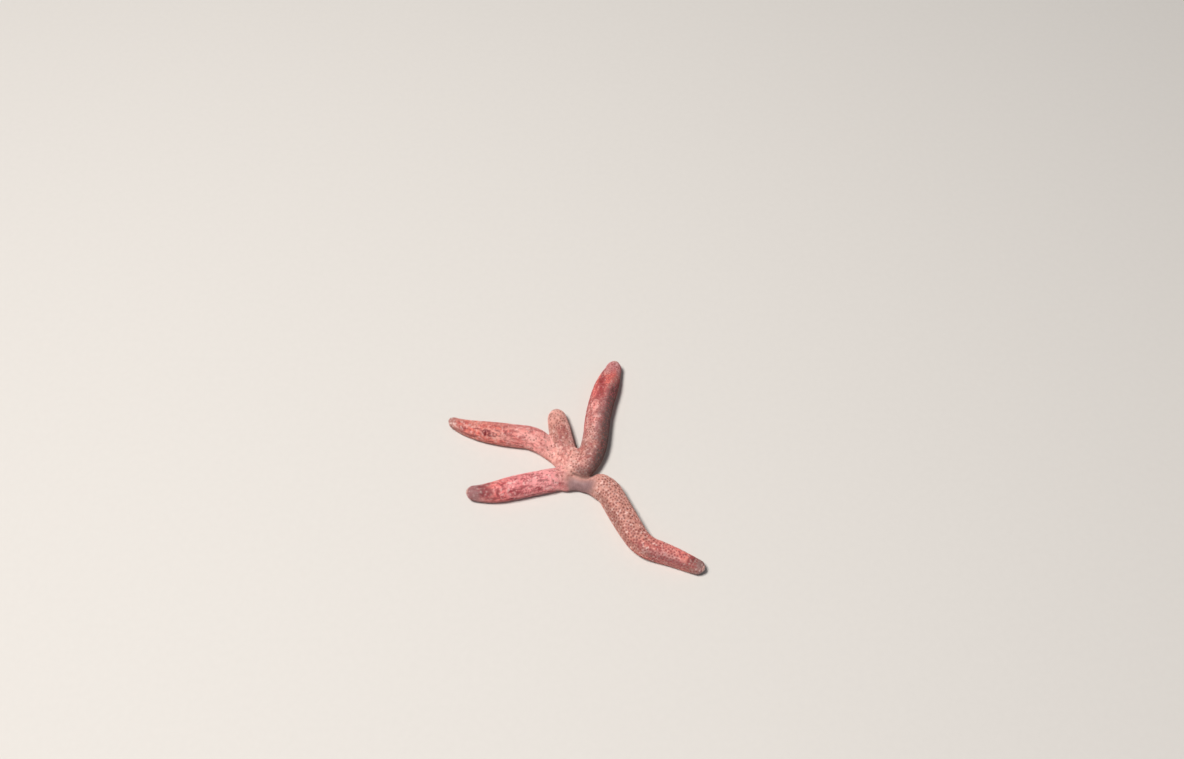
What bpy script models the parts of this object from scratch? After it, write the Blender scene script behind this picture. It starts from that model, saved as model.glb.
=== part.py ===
"""Slender-armed sea star, life size, at rest on its underside.

Metres, +Z up. The origin is under the middle of the whole body, on the floor.
Five unequal arms leave a small disc. Each arm follows a few arcs along the floor
and has a round section with two flat strips below, either side of its groove.
The body is modelled whole and then parted by thin cuts.
"""
import math

import bmesh
import bpy
import numpy as np
from mathutils import Vector

MM = 0.001

# Disc
DISC_AT = (-1.0, -4.75)        # the mouth's place on the floor, mm
DISC_RADIUS = 10.4             # where the arms are parted from the disc, mm
# The back of the disc: a high lobe, a low one and the web between the two near arms,
# each (x, y) from the mouth, radius and height, mm
DISC_LOBES = (
    (1.4, 3.6, 8.4, 10.6),
    (-1.4, -3.1, 7.3, 7.4),
    (2.2, -4.2, 5.6, 6.6),
)
LOBE_STEPS = (24, 14)          # divisions round a lobe and from its foot to its top
MOUTH_RADIUS = 2.2             # mm
MOUTH_DEPTH = 2.6              # mm
MOUTH_ROOF = 0.8               # the mouth's radius at its roof, as a share of its radius at the floor
MOUTH_STEPS = 20

# Every arm
ROUNDNESS = 0.90               # height of an arm's section for each unit of its width
WIDEST_AT = 0.45               # height of the widest place, as a share of the section's height
UNDERCUT = 0.52                # how far the lower half would drop before the floor flattens it
FLANK_FULLNESS = 0.7           # below 1, the lower half keeps its breadth further down
FURROW_WIDTH = 2.4             # mm
FURROW_DEPTH = 2.0             # mm
FURROW_FULL_AT = 5.0           # half width of arm above which the furrow has its full width, mm
# Half of the furrow's outline: (across, up) as shares of its width and depth, from below the floor
FURROW_SIDE = ((0.5, -0.8), (0.5, 0.15), (0.36, 0.75))
RING_STEP = 4.0                # greatest spacing of the rings along an arm, mm
RING_TURN = 11.0               # greatest bend from one ring to the next, degrees
RING_POINTS = 18               # points around a ring
TIP_RINGS = (22.0, 42.0, 60.0, 75.0)   # degrees round the blunt end

# Parting
GAP = 0.3                      # clear space between neighbouring solids, mm
CAP_LENGTH = 2.2               # length of the terminal plate at an arm's tip, mm
CUT_FROM = -1.0                # the cutters' foot and top, clear of the body, mm
CUT_TO = 14.0
CUT_MARGIN = 1.5               # how far a cutter stands out past each side of an arm, mm
PARTING_STEPS = 48

# Each arm: heading at the mouth in degrees from +X, then (length in mm, turn in degrees) arcs.
# neck, shoulder and tip are half widths in mm, and rise is how far the tip turns up, in mm.
# The neck ends at neck_to, the shoulder is reached at shoulder_at and the arm thins from
# taper_from; it is parted at parted_at. These are places along the arm, in mm from the mouth.
ARMS = {
    "arm_far_left": dict(
        heading=131, arcs=((10, 0), (8, 3), (12, 40), (18, -6), (20, -17)),
        neck=3.3, neck_to=8.0, shoulder=5.7, shoulder_at=24.0, taper_from=37.5, tip=3.0,
        rise=1.2, parted_at=(29.0, 48.0)),
    "arm_short": dict(
        heading=102, arcs=((12, 2), (22, -3)),
        neck=5.0, neck_to=2.0, shoulder=5.6, shoulder_at=12.0, taper_from=20.0, tip=4.9,
        rise=0.8, parted_at=(24.5,)),
    "arm_far_right": dict(
        heading=0, arcs=((8, 53), (10, 24), (10, 9), (20, -13), (20, -2)),
        neck=4.4, neck_to=0.0, shoulder=6.4, shoulder_at=8.0, taper_from=48.0, tip=4.3,
        rise=1.5, parted_at=(28.0, 46.5)),
    "arm_long": dict(
        heading=-75, arcs=((10, 63), (5, 0), (10, -52), (22, 4), (12, 42), (24, -10)),
        neck=3.9, neck_to=10.5, shoulder=6.3, shoulder_at=17.5, taper_from=30.0, tip=3.7,
        rise=1.0, parted_at=(34.0, 58.0)),
    "arm_near_left": dict(
        heading=227, arcs=((10, -35), (22, 2), (18.5, -22)),
        neck=4.8, neck_to=0.0, shoulder=5.8, shoulder_at=11.0, taper_from=26.0, tip=3.8,
        rise=1.0, parted_at=(22.5, 35.5)),
}
TAPER_POWER = 1.8              # above 1, an arm thins slowly at first
RISE_RUN = 10.0                # length of the upturned end of an arm, mm

# Walls that part neighbouring arms where they touch: heading (degrees) of the near end,
# then heading and distance (mm) of the far end, all from the mouth
CREASES = ((132, 118, 23.5), (70.5, 73, 15.0), (-16, -17, 15.0))

# Madreporite: a button in a shallow socket on the high lobe of the disc
MADREPORITE_TURN = 172.0       # degrees from +X, round the lobe
MADREPORITE_RISE = 42.0        # degrees above the lobe's widest place
MADREPORITE_RADIUS = 1.1       # mm
MADREPORITE_HEIGHT = 0.8       # mm
SOCKET_DEPTH = 0.5             # mm
BUTTON_STEPS = 20
# The button's side, foot to crown: share of its radius, share of its height
BUTTON_PROFILE = ((0.94, 0.0), (1.0, 0.19), (0.97, 0.55), (0.8, 0.85), (0.35, 1.0))

ROUGHNESS = 0.62
SMOOTH_BELOW = 40.0            # edges flatter than this many degrees are shaded smooth
SEARCH_STEP = 0.25             # how finely a place along an arm is looked for, mm
WELD_WITHIN = 1e-7             # corners of a lobe nearer than this are made one, m

# Linear base colours
COLORS = {
    "disc": (0.68, 0.35, 0.30),
    "arm_far_left": (0.66, 0.23, 0.18),
    "arm_short": (0.54, 0.30, 0.23),
    "arm_far_right": (0.56, 0.23, 0.20),
    "arm_long": (0.52, 0.26, 0.22),
    "arm_near_left": (0.60, 0.20, 0.18),
    "plate": (0.57, 0.33, 0.28),
    "madreporite": (0.80, 0.40, 0.35),
}


def ease(x):
    """Smooth step from 0 to 1."""
    x = min(1.0, max(0.0, x))
    return x * x * (3 - 2 * x)


def arm_length(arm):
    return sum(length for length, _ in arm["arcs"])


def on_spine(arm, s):
    """Place (mm) and heading (radians) on an arm's middle line, s mm from the mouth."""
    x, y = DISC_AT
    heading = math.radians(arm["heading"])
    for length, turn in arm["arcs"]:
        step = min(s, length)
        bend = math.radians(turn) * step / length
        chord = step * math.sin(bend / 2) / (bend / 2) if bend else step
        x += chord * math.cos(heading + bend / 2)
        y += chord * math.sin(heading + bend / 2)
        heading += bend
        s -= step
        if s <= 0:
            break
    return x, y, heading


def half_width(arm, s):
    """Half width (mm) of an arm at s, before its blunt end rounds off."""
    swell = ease((s - arm["neck_to"]) / (arm["shoulder_at"] - arm["neck_to"]))
    grown = arm["neck"] + (arm["shoulder"] - arm["neck"]) * swell
    run = arm_length(arm) - arm["tip"] - arm["taper_from"]
    gone = max(0.0, (s - arm["taper_from"]) / run)
    return grown - (arm["shoulder"] - arm["tip"]) * gone ** TAPER_POWER


def lift(arm, s):
    """Height (mm) of the underside above the floor, where the end turns up."""
    start = arm_length(arm) - RISE_RUN
    return arm["rise"] * max(0.0, (s - start) / RISE_RUN) ** 2


def section(count):
    """An arm's outline as (across, up) shares of its half width and height, anticlockwise."""
    points = []
    for i in range(count):
        angle = 2 * math.pi * i / count
        across, up = math.cos(angle), math.sin(angle)
        if up >= 0:
            points.append((across, WIDEST_AT + (1 - WIDEST_AT) * up))
        else:
            height = max(0.0, WIDEST_AT + UNDERCUT * up)
            points.append((math.copysign(abs(across) ** FLANK_FULLNESS, across), height))
    return points


def ring_places(arm, end):
    """Places for an arm's rings from the mouth to end (mm), closer together in bends."""
    places = [0.0]
    reached = 0.0
    for length, turn in arm["arcs"]:
        count = math.ceil(max(length / RING_STEP, abs(turn) / RING_TURN))
        for i in range(1, count + 1):
            s = reached + length * i / count
            if s < end - RING_STEP / 2:
                places.append(s)
        reached += length
    return places + [end]


def ring(arm, s, shrink=1.0, past=0.0):
    """One ring of points (mm) round an arm, drawn in by shrink and set past s."""
    x, y, heading = on_spine(arm, s + past)
    half = half_width(arm, s)
    height = 2 * ROUNDNESS * half
    middle = WIDEST_AT * height
    base = lift(arm, s + past)
    side = (-math.sin(heading), math.cos(heading))
    points = []
    for across, up in section(RING_POINTS):
        offset = -across * half * shrink
        z = base + middle + (up * height - middle) * shrink
        points.append((x + side[0] * offset, y + side[1] * offset, z))
    return points


def arm_rings(arm):
    """All rings of an arm, from the mouth to its blunt end."""
    end = arm_length(arm) - arm["tip"]
    rings = [ring(arm, s) for s in ring_places(arm, end)]
    for degrees in TIP_RINGS:
        angle = math.radians(degrees)
        rings.append(ring(arm, end, shrink=math.cos(angle), past=arm["tip"] * math.sin(angle)))
    return rings


def mesh_from(name, points, faces):
    """A mesh in metres from points in mm."""
    mesh = bpy.data.meshes.new(name)
    mesh.from_pydata([tuple(c * MM for c in p) for p in points], [], faces)
    mesh.validate()
    return mesh


def tube(name, rings, tip=None):
    """A closed tube through rings of equal length; tip closes its far end with a point."""
    count = len(rings[0])
    points = [p for r in rings for p in r]
    faces = [tuple(range(count))[::-1]]
    for i in range(len(rings) - 1):
        for j in range(count):
            k = (j + 1) % count
            faces.append((i * count + j, i * count + k, (i + 1) * count + k, (i + 1) * count + j))
    last = (len(rings) - 1) * count
    if tip is None:
        faces.append(tuple(range(last, last + count)))
    else:
        points.append(tip)
        faces += [(last + j, last + (j + 1) % count, len(points) - 1) for j in range(count)]
    mesh = mesh_from(name, points, faces)
    face_outwards(mesh)
    return mesh


def face_outwards(mesh):
    shape = bmesh.new()
    shape.from_mesh(mesh)
    bmesh.ops.recalc_face_normals(shape, faces=shape.faces)
    shape.to_mesh(mesh)
    shape.free()


def place(name, mesh, helper=False):
    """Put a mesh in the scene; a helper is a cutter that isn't part of the body."""
    thing = bpy.data.objects.new(name, mesh)
    bpy.context.collection.objects.link(thing)
    if helper:
        thing.hide_render = True
        thing.display_type = "WIRE"
    return thing


def combine(body, other, operation):
    """Apply one exact Boolean to the body and drop the other shape."""
    step = body.modifiers.new(operation.lower(), "BOOLEAN")
    step.operation = operation
    step.solver = "EXACT"
    step.object = other
    bpy.context.view_layer.update()
    graph = bpy.context.evaluated_depsgraph_get()
    result = bpy.data.meshes.new_from_object(body.evaluated_get(graph))
    body.modifiers.remove(step)
    body.data = result
    bpy.data.objects.remove(other)


def arm_mesh(name, arm):
    x, y, heading = on_spine(arm, arm_length(arm))
    middle = WIDEST_AT * 2 * ROUNDNESS * arm["tip"]
    return tube(name, arm_rings(arm), tip=(x, y, middle + lift(arm, arm_length(arm))))


def lobe_mesh(across, along, radius, height):
    """One rounded lobe of the disc, flat below."""
    shape = bmesh.new()
    around, upward = LOBE_STEPS
    bmesh.ops.create_uvsphere(shape, u_segments=around, v_segments=upward, radius=1.0)
    for v in shape.verts:
        v.co.x = (v.co.x * radius + DISC_AT[0] + across) * MM
        v.co.y = (v.co.y * radius + DISC_AT[1] + along) * MM
        low = max(v.co.z, -WIDEST_AT / (1 - WIDEST_AT))
        v.co.z = (WIDEST_AT + (1 - WIDEST_AT) * low) * height * MM
    bmesh.ops.remove_doubles(shape, verts=shape.verts, dist=WELD_WITHIN)
    mesh = bpy.data.meshes.new("lobe")
    shape.to_mesh(mesh)
    shape.free()
    face_outwards(mesh)
    return mesh


def furrow_mesh(name, arm):
    """Cutter for the groove under an arm, from the mouth to the terminal plate."""
    mirrored = tuple((-u, v) for u, v in reversed(FURROW_SIDE))
    profile = FURROW_SIDE + ((0.0, 1.0),) + mirrored
    start = MOUTH_RADIUS / 2
    end = arm_length(arm) - CAP_LENGTH
    count = round((end - start) / RING_STEP)
    rings = []
    for i in range(count + 1):
        s = start + (end - start) * i / count
        x, y, heading = on_spine(arm, s)
        width = FURROW_WIDTH * min(1.0, half_width(arm, s) / FURROW_FULL_AT)
        side = (-math.sin(heading), math.cos(heading))
        base = lift(arm, s)
        rings.append([(x + side[0] * u * width, y + side[1] * u * width, base + v * FURROW_DEPTH)
                      for u, v in profile])
    return tube(name, rings)


def mouth_mesh():
    """Cutter for the mouth: a cone as deep below the floor as above it."""
    shape = bmesh.new()
    low = MOUTH_RADIUS * (2 - MOUTH_ROOF) * MM
    bmesh.ops.create_cone(shape, cap_ends=True, segments=MOUTH_STEPS, radius1=low,
                          radius2=MOUTH_RADIUS * MOUTH_ROOF * MM, depth=2 * MOUTH_DEPTH * MM)
    for v in shape.verts:
        v.co.x += DISC_AT[0] * MM
        v.co.y += DISC_AT[1] * MM
    mesh = bpy.data.meshes.new("mouth")
    shape.to_mesh(mesh)
    shape.free()
    return mesh


def slab_mesh(name, x, y, heading, half):
    """An upright plate across a heading at (x, y): half to each side, as thick as the gap."""
    along = (math.cos(heading), math.sin(heading))
    side = (-along[1], along[0])
    points = []
    for z in (CUT_FROM, CUT_TO):
        for a, b in ((-1, -1), (1, -1), (1, 1), (-1, 1)):
            points.append((x + along[0] * a * GAP / 2 + side[0] * b * half,
                           y + along[1] * a * GAP / 2 + side[1] * b * half, z))
    faces = [(0, 3, 2, 1), (4, 5, 6, 7)]
    faces += [(i, (i + 1) % 4, 4 + (i + 1) % 4, 4 + i) for i in range(4)]
    mesh = mesh_from(name, points, faces)
    face_outwards(mesh)
    return mesh


def parting_ring_mesh():
    """A thin upright ring that parts the arms from the disc."""
    steps = PARTING_STEPS
    points = []
    for radius in (DISC_RADIUS, DISC_RADIUS + GAP):
        for z in (CUT_FROM, CUT_TO):
            for i in range(steps):
                angle = 2 * math.pi * i / steps
                points.append((DISC_AT[0] + radius * math.cos(angle),
                               DISC_AT[1] + radius * math.sin(angle), z))
    loops = (0, 1, 3, 2)
    faces = []
    for a, b in zip(loops, loops[1:] + loops[:1]):
        for i in range(steps):
            k = (i + 1) % steps
            faces.append((a * steps + i, a * steps + k, b * steps + k, b * steps + i))
    mesh = mesh_from("parting_ring", points, faces)
    face_outwards(mesh)
    return mesh


def crease_mesh(near, far, reach):
    """A thin upright wall between two arms, from the parting ring outwards."""
    inner = DISC_RADIUS + GAP / 2
    start = (inner * math.cos(math.radians(near)), inner * math.sin(math.radians(near)))
    end = (reach * math.cos(math.radians(far)), reach * math.sin(math.radians(far)))
    x = DISC_AT[0] + (start[0] + end[0]) / 2
    y = DISC_AT[1] + (start[1] + end[1]) / 2
    across = math.atan2(end[1] - start[1], end[0] - start[0]) + math.pi / 2
    return slab_mesh("crease", x, y, across, math.dist(start, end) / 2)


def cut_places(arm):
    """Where an arm is parted, in mm from the mouth: between its lengths and before its cap."""
    return arm["parted_at"] + (arm_length(arm) - CAP_LENGTH,)


def build_body():
    """The whole body as one solid, with its grooves and mouth, then parted by thin cuts."""
    body = place("body", lobe_mesh(*DISC_LOBES[0]))
    for lobe in DISC_LOBES[1:]:
        combine(body, place("lobe", lobe_mesh(*lobe), helper=True), "UNION")
    for name, arm in ARMS.items():
        combine(body, place(name, arm_mesh(name, arm), helper=True), "UNION")
    combine(body, place("mouth", mouth_mesh(), helper=True), "DIFFERENCE")
    for name, arm in ARMS.items():
        combine(body, place(name, furrow_mesh(name, arm), helper=True), "DIFFERENCE")
    combine(body, place("parting", parting_ring_mesh(), helper=True), "DIFFERENCE")
    for crease in CREASES:
        combine(body, place("crease", crease_mesh(*crease), helper=True), "DIFFERENCE")
    for arm in ARMS.values():
        for s in cut_places(arm):
            x, y, heading = on_spine(arm, s)
            slab = slab_mesh("cut", x, y, heading, half_width(arm, s) + CUT_MARGIN)
            combine(body, place("cut", slab, helper=True), "DIFFERENCE")
    return body


def lobe_frame():
    """Place and outward direction (unit, x y z) where the madreporite sits, in mm."""
    across, along, radius, height = DISC_LOBES[0]
    turn = math.radians(MADREPORITE_TURN)
    rise = math.radians(MADREPORITE_RISE)
    upper = (1 - WIDEST_AT) * height
    spot = Vector((DISC_AT[0] + across + radius * math.cos(rise) * math.cos(turn),
                   DISC_AT[1] + along + radius * math.cos(rise) * math.sin(turn),
                   WIDEST_AT * height + upper * math.sin(rise)))
    outward = Vector((math.cos(rise) * math.cos(turn) / radius,
                      math.cos(rise) * math.sin(turn) / radius,
                      math.sin(rise) / upper))
    return spot, outward.normalized()


def button_mesh(name, radius, profile):
    """A turned button on the madreporite's place; profile is (share of radius, height mm) pairs."""
    spot, outward = lobe_frame()
    turned = outward.to_track_quat("Z", "Y")
    rings = []
    for share, height in profile:
        ring_points = []
        for i in range(BUTTON_STEPS):
            angle = 2 * math.pi * i / BUTTON_STEPS
            local = Vector((math.cos(angle) * share * radius, math.sin(angle) * share * radius, height))
            ring_points.append(tuple(spot + turned @ local))
        rings.append(ring_points)
    return tube(name, rings)


def add_madreporite(body):
    """Sink a socket in the disc and set the button in it, clear all round."""
    socket = ((1.0, -SOCKET_DEPTH), (1.0, 2 * MADREPORITE_HEIGHT))
    cutter = button_mesh("socket", MADREPORITE_RADIUS + GAP, socket)
    combine(body, place("socket", cutter, helper=True), "DIFFERENCE")
    low = GAP - SOCKET_DEPTH
    button = [(share, low + up * MADREPORITE_HEIGHT) for share, up in BUTTON_PROFILE]
    place("madreporite", button_mesh("madreporite", MADREPORITE_RADIUS, button))


def islands(mesh):
    """The separate solids in a mesh, each as its own mesh."""
    shape = bmesh.new()
    shape.from_mesh(mesh)
    shape.verts.ensure_lookup_table()
    group = {}
    for seed in shape.verts:
        if seed in group:
            continue
        number = len(set(group.values()))
        waiting = [seed]
        group[seed] = number
        while waiting:
            for edge in waiting.pop().link_edges:
                for v in edge.verts:
                    if v not in group:
                        group[v] = number
                        waiting.append(v)
    numbers = [group[v] for v in shape.verts]
    shape.free()
    pieces = []
    for number in sorted(set(numbers)):
        part = bmesh.new()
        part.from_mesh(mesh)
        part.verts.ensure_lookup_table()
        others = [v for v, n in zip(part.verts, numbers) if n != number]
        bmesh.ops.delete(part, geom=others, context="VERTS")
        piece = bpy.data.meshes.new("piece")
        part.to_mesh(piece)
        part.free()
        pieces.append(piece)
    return pieces


def nearest_station(arm, x, y):
    """Distance (mm) from a place to an arm's middle line and how far along it that is."""
    steps = round(arm_length(arm) / SEARCH_STEP)
    best = (float("inf"), 0.0)
    for i in range(steps + 1):
        s = arm_length(arm) * i / steps
        spot = on_spine(arm, s)
        best = min(best, (math.dist(spot[:2], (x, y)), s))
    return best


def name_of(mesh):
    """The node's name for one parted piece, from where its middle lies."""
    corners = np.array([v.co[:] for v in mesh.vertices]) / MM
    x, y = (corners.min(axis=0) + corners.max(axis=0))[:2] / 2
    if math.dist((x, y), DISC_AT) < DISC_RADIUS / 2:
        return "disc", "disc"
    near = {name: nearest_station(arm, x, y) for name, arm in ARMS.items()}
    arm_name = min(near, key=near.get)
    arm = ARMS[arm_name]
    ends = cut_places(arm)
    lengths = ("base", "middle", "tip") if len(ends) == 3 else ("base", "tip")
    for label, end in zip(lengths, ends):
        if near[arm_name][1] < end:
            return f"{arm_name}_{label}", arm_name
    return f"{arm_name}_plate", "plate"


def finish(thing, color):
    """Smooth shading and the thing's own material."""
    skin = bpy.data.materials.new(f"{thing.name}_skin")
    skin.use_nodes = True
    shader = skin.node_tree.nodes["Principled BSDF"]
    shader.inputs["Base Color"].default_value = (*COLORS[color], 1.0)
    shader.inputs["Roughness"].default_value = ROUGHNESS
    shader.inputs["Metallic"].default_value = 0.0
    thing.data.materials.clear()
    thing.data.materials.append(skin)
    thing.data.shade_smooth()
    thing.data.set_sharp_from_angle(angle=math.radians(SMOOTH_BELOW))


def main():
    for old in list(bpy.data.objects):
        bpy.data.objects.remove(old)
    body = build_body()
    add_madreporite(body)
    finish(bpy.data.objects["madreporite"], "madreporite")
    pieces = islands(body.data)
    expected = 1 + sum(len(cut_places(arm)) + 1 for arm in ARMS.values())
    if len(pieces) != expected:
        raise RuntimeError(f"the cuts leave {len(pieces)} solids, not {expected}")
    bpy.data.objects.remove(body)
    for mesh in pieces:
        name, color = name_of(mesh)
        finish(place(name, mesh), color)


main()
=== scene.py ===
import math

import bpy
import numpy as np
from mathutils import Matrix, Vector
from mathutils.bvhtree import BVHTree
from mathutils.kdtree import KDTree


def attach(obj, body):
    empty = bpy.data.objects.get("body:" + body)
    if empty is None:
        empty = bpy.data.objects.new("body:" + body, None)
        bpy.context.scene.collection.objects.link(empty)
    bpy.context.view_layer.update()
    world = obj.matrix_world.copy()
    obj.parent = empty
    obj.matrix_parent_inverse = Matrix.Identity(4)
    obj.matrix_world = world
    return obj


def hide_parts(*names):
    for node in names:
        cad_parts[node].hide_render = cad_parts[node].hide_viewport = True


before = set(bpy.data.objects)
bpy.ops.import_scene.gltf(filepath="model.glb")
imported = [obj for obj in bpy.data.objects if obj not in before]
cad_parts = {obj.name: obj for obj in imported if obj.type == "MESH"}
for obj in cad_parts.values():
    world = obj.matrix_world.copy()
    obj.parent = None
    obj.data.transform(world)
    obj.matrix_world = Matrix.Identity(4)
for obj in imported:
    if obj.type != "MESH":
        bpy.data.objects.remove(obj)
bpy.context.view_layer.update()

# Slender-armed sea star at rest. One skin covers the disc and arms, and a coat of fine granules
# stands on it, left open round dark pores. Lengths are in mm until a mesh is made.
mm = 0.001
# one seed for each noise; an arm's streaks add the arm's number to theirs
seeds = {"dice": 11, "swell": 1, "plates": 2, "wanderAlong": 3, "wanderAcross": 4, "pores": 5,
         "poreSize": 8, "granules": 9, "knobs": 21, "slowStreaks": 30, "fastStreaks": 40}
dice = np.random.default_rng(seeds["dice"])

# The same driving dimensions as the solids have
body = {
    "mouthAt": (-1.0, -4.75),
    "discRadius": 10.4,
    # x, y from the mouth, radius and height: a high lobe, a low one and the web between two arms
    "lobes": ((1.4, 3.6, 8.4, 10.6), (-1.4, -3.1, 7.3, 7.4), (2.2, -4.2, 5.6, 6.6)),
    "mouthRadius": 2.2,
    "mouthDepth": 2.6,
    "roundness": 0.90,        # height of an arm for each unit of its width
    "widestAt": 0.45,         # share of the height at which an arm is widest
    "undercut": 0.52,         # share of the height that the flank curves in below its widest
    "flankFullness": 0.7,
    "furrowWidth": 2.4,
    "furrowFullFrom": 5.0,    # half width of an arm from which its groove has that width
    "furrowDepth": 2.0,
    "taperPower": 1.8,
    "riseRun": 10.0,
}

# heading in degrees from +X, then (length, turn in degrees) arcs along the middle line. neck, shoulder
# and tip are half widths, and rise is how far the tip turns up. partedAt is where the lengths meet.
arms = {
    "arm_far_left": {
        "heading": 131, "arcs": ((10, 0), (8, 3), (12, 40), (18, -6), (20, -17)),
        "neck": 3.3, "neckTo": 8.0, "shoulder": 5.7, "shoulderAt": 24.0, "taperFrom": 37.5,
        "tip": 3.0, "rise": 1.2, "partedAt": (29.0, 48.0)},
    "arm_short": {
        "heading": 102, "arcs": ((12, 2), (22, -3)),
        "neck": 5.0, "neckTo": 2.0, "shoulder": 5.6, "shoulderAt": 12.0, "taperFrom": 20.0,
        "tip": 4.9, "rise": 0.8, "partedAt": (24.5,)},
    "arm_far_right": {
        "heading": 0, "arcs": ((8, 53), (10, 24), (10, 9), (20, -13), (20, -2)),
        "neck": 4.4, "neckTo": 0.0, "shoulder": 6.4, "shoulderAt": 8.0, "taperFrom": 48.0,
        "tip": 4.3, "rise": 1.5, "partedAt": (28.0, 46.5)},
    "arm_long": {
        "heading": -75, "arcs": ((10, 63), (5, 0), (10, -52), (22, 4), (12, 42), (24, -10)),
        "neck": 3.9, "neckTo": 10.5, "shoulder": 6.3, "shoulderAt": 17.5, "taperFrom": 30.0,
        "tip": 3.7, "rise": 1.0, "partedAt": (34.0, 58.0)},
    "arm_near_left": {
        "heading": 227, "arcs": ((10, -35), (22, 2), (18.5, -22)),
        "neck": 4.8, "neckTo": 0.0, "shoulder": 5.8, "shoulderAt": 11.0, "taperFrom": 26.0,
        "tip": 3.8, "rise": 1.0, "partedAt": (22.5, 35.5)},
}


def ease(x):
    x = np.clip(x, 0.0, 1.0)
    return x * x * (3 - 2 * x)


def armLength(arm):
    return sum(length for length, _ in arm["arcs"])


def spineAt(arm, places):
    # where the middle line is, and its heading, at an array of distances from the mouth
    left = np.array(places, float)
    x = np.full(left.shape, body["mouthAt"][0])
    y = np.full(left.shape, body["mouthAt"][1])
    heading = np.full(left.shape, math.radians(arm["heading"]))
    for length, turn in arm["arcs"]:
        step = np.clip(left, 0, length)
        bend = math.radians(turn) * step / length
        chord = step * np.sinc(bend / (2 * math.pi))
        x += chord * np.cos(heading + bend / 2)
        y += chord * np.sin(heading + bend / 2)
        heading += bend
        left -= step
    return x, y, heading


def halfWidth(arm, places):
    # half width before the blunt end rounds off
    places = np.minimum(places, armLength(arm) - arm["tip"])
    swell = ease((places - arm["neckTo"]) / (arm["shoulderAt"] - arm["neckTo"]))
    run = armLength(arm) - arm["tip"] - arm["taperFrom"]
    gone = np.maximum(0.0, (places - arm["taperFrom"]) / run)
    grown = arm["neck"] + (arm["shoulder"] - arm["neck"]) * swell
    return grown - (arm["shoulder"] - arm["tip"]) * gone ** body["taperPower"]


def liftAt(arm, places):
    # how far the underside is off the floor, where an end turns up
    start = armLength(arm) - body["riseRun"]
    return arm["rise"] * np.maximum(0.0, (places - start) / body["riseRun"]) ** 2


def outline(count):
    # (across, up) shares of an arm's half width and height: round above, two flats below
    turns = 2 * math.pi * np.arange(count) / count
    across, up = np.cos(turns), np.sin(turns)
    low = np.maximum(0.0, body["widestAt"] + body["undercut"] * up)
    high = body["widestAt"] + (1 - body["widestAt"]) * up
    full = np.sign(across) * np.abs(across) ** body["flankFullness"]
    return np.where(up < 0, full, across), np.where(up < 0, low, high)


def joinParts(parts):
    # one (points, loops, sizes) out of several
    points, loops, sizes = zip(*parts)
    before = np.cumsum([0] + [len(part) for part in points])
    return (np.concatenate(points), np.concatenate([part + n for part, n in zip(loops, before)]),
            np.concatenate(sizes))


def tube(rings):
    # a closed tube through rings with the same number of points
    count, last = len(rings[0]), (len(rings) - 1) * len(rings[0])
    low, end = np.arange(last).reshape(-1, count), np.arange(count)
    after = np.roll(low, -1, 1)
    walls = np.stack([low, after, after + count, low + count], 2)
    return (np.concatenate(rings), np.concatenate([end[::-1], walls.ravel(), end + last]),
            np.array([count] + [4] * last + [count]))


def turnedRings(profile, sides, centre=(0.0, 0.0)):
    # rings round an upright line, from (radius, height) pairs
    turns = 2 * math.pi * np.arange(sides) / sides
    return [np.stack([centre[0] + radius * np.cos(turns), centre[1] + radius * np.sin(turns),
                      height + np.zeros(sides)], 1) for radius, height in profile]


def beside(x, y, heading, offset):
    # places offset to the left of the middle line
    return x - np.sin(heading) * offset, y + np.cos(heading) * offset


def unitLength(vectors):
    return vectors / np.linalg.norm(vectors, axis=-1, keepdims=True)


def mouthReach(points):
    return np.hypot(*(points[:, :2] - body["mouthAt"]).T)


def makeMesh(name, shape, uv=None, facts=None):
    # a mesh in metres, with its bake map and its per-point facts for the materials
    points, loops, sizes = shape
    mesh = bpy.data.meshes.new(name)
    mesh.vertices.add(len(points))
    mesh.vertices.foreach_set("co", (points * mm).astype(np.float32).ravel())
    mesh.loops.add(len(loops))
    mesh.loops.foreach_set("vertex_index", loops.astype(np.int32))
    mesh.polygons.add(len(sizes))
    mesh.polygons.foreach_set("loop_start", (np.cumsum(sizes) - sizes).astype(np.int32))
    mesh.update(calc_edges=True)
    mesh.polygons.foreach_set("use_smooth", np.ones(len(sizes), bool))
    for fact, values in (facts or {}).items():
        mesh.attributes.new(fact, "FLOAT", "POINT").data.foreach_set("value", values.astype(np.float32))
    if uv is not None:
        mesh.uv_layers.new(name="OFBake").uv.foreach_set("vector", uv.astype(np.float32).ravel())
    return mesh


def placed(name, data):
    thing = bpy.data.objects.new(name, data)
    bpy.context.scene.collection.objects.link(thing)
    return thing


def addPiece(name, shape, material, uv=None, facts=None):
    thing = placed(name, makeMesh(name, shape, uv, facts))
    thing.data.materials.append(materials[material])
    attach(thing, "root")
    return thing


def modified(mesh, kind, **settings):
    # the mesh after one modifier
    thing = placed("work", mesh)
    step = thing.modifiers.new("step", kind)
    for setting, value in settings.items():
        setattr(step, setting, value)
    bpy.context.view_layer.update()
    graph = bpy.context.evaluated_depsgraph_get()
    result = bpy.data.meshes.new_from_object(thing.evaluated_get(graph))
    bpy.data.objects.remove(thing)
    return result


def remeshed(mesh, voxel):
    return modified(mesh, "REMESH", mode="VOXEL", voxel_size=voxel * mm)


def fetched(items, fact, each=1, kind=np.int32):
    values = np.empty(len(items) * each, kind)
    items.foreach_get(fact, values)
    return values.reshape(-1, each) if each > 1 else values


def pointsOf(mesh):
    return fetched(mesh.vertices, "co", 3, np.float32).astype(float) / mm


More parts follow.
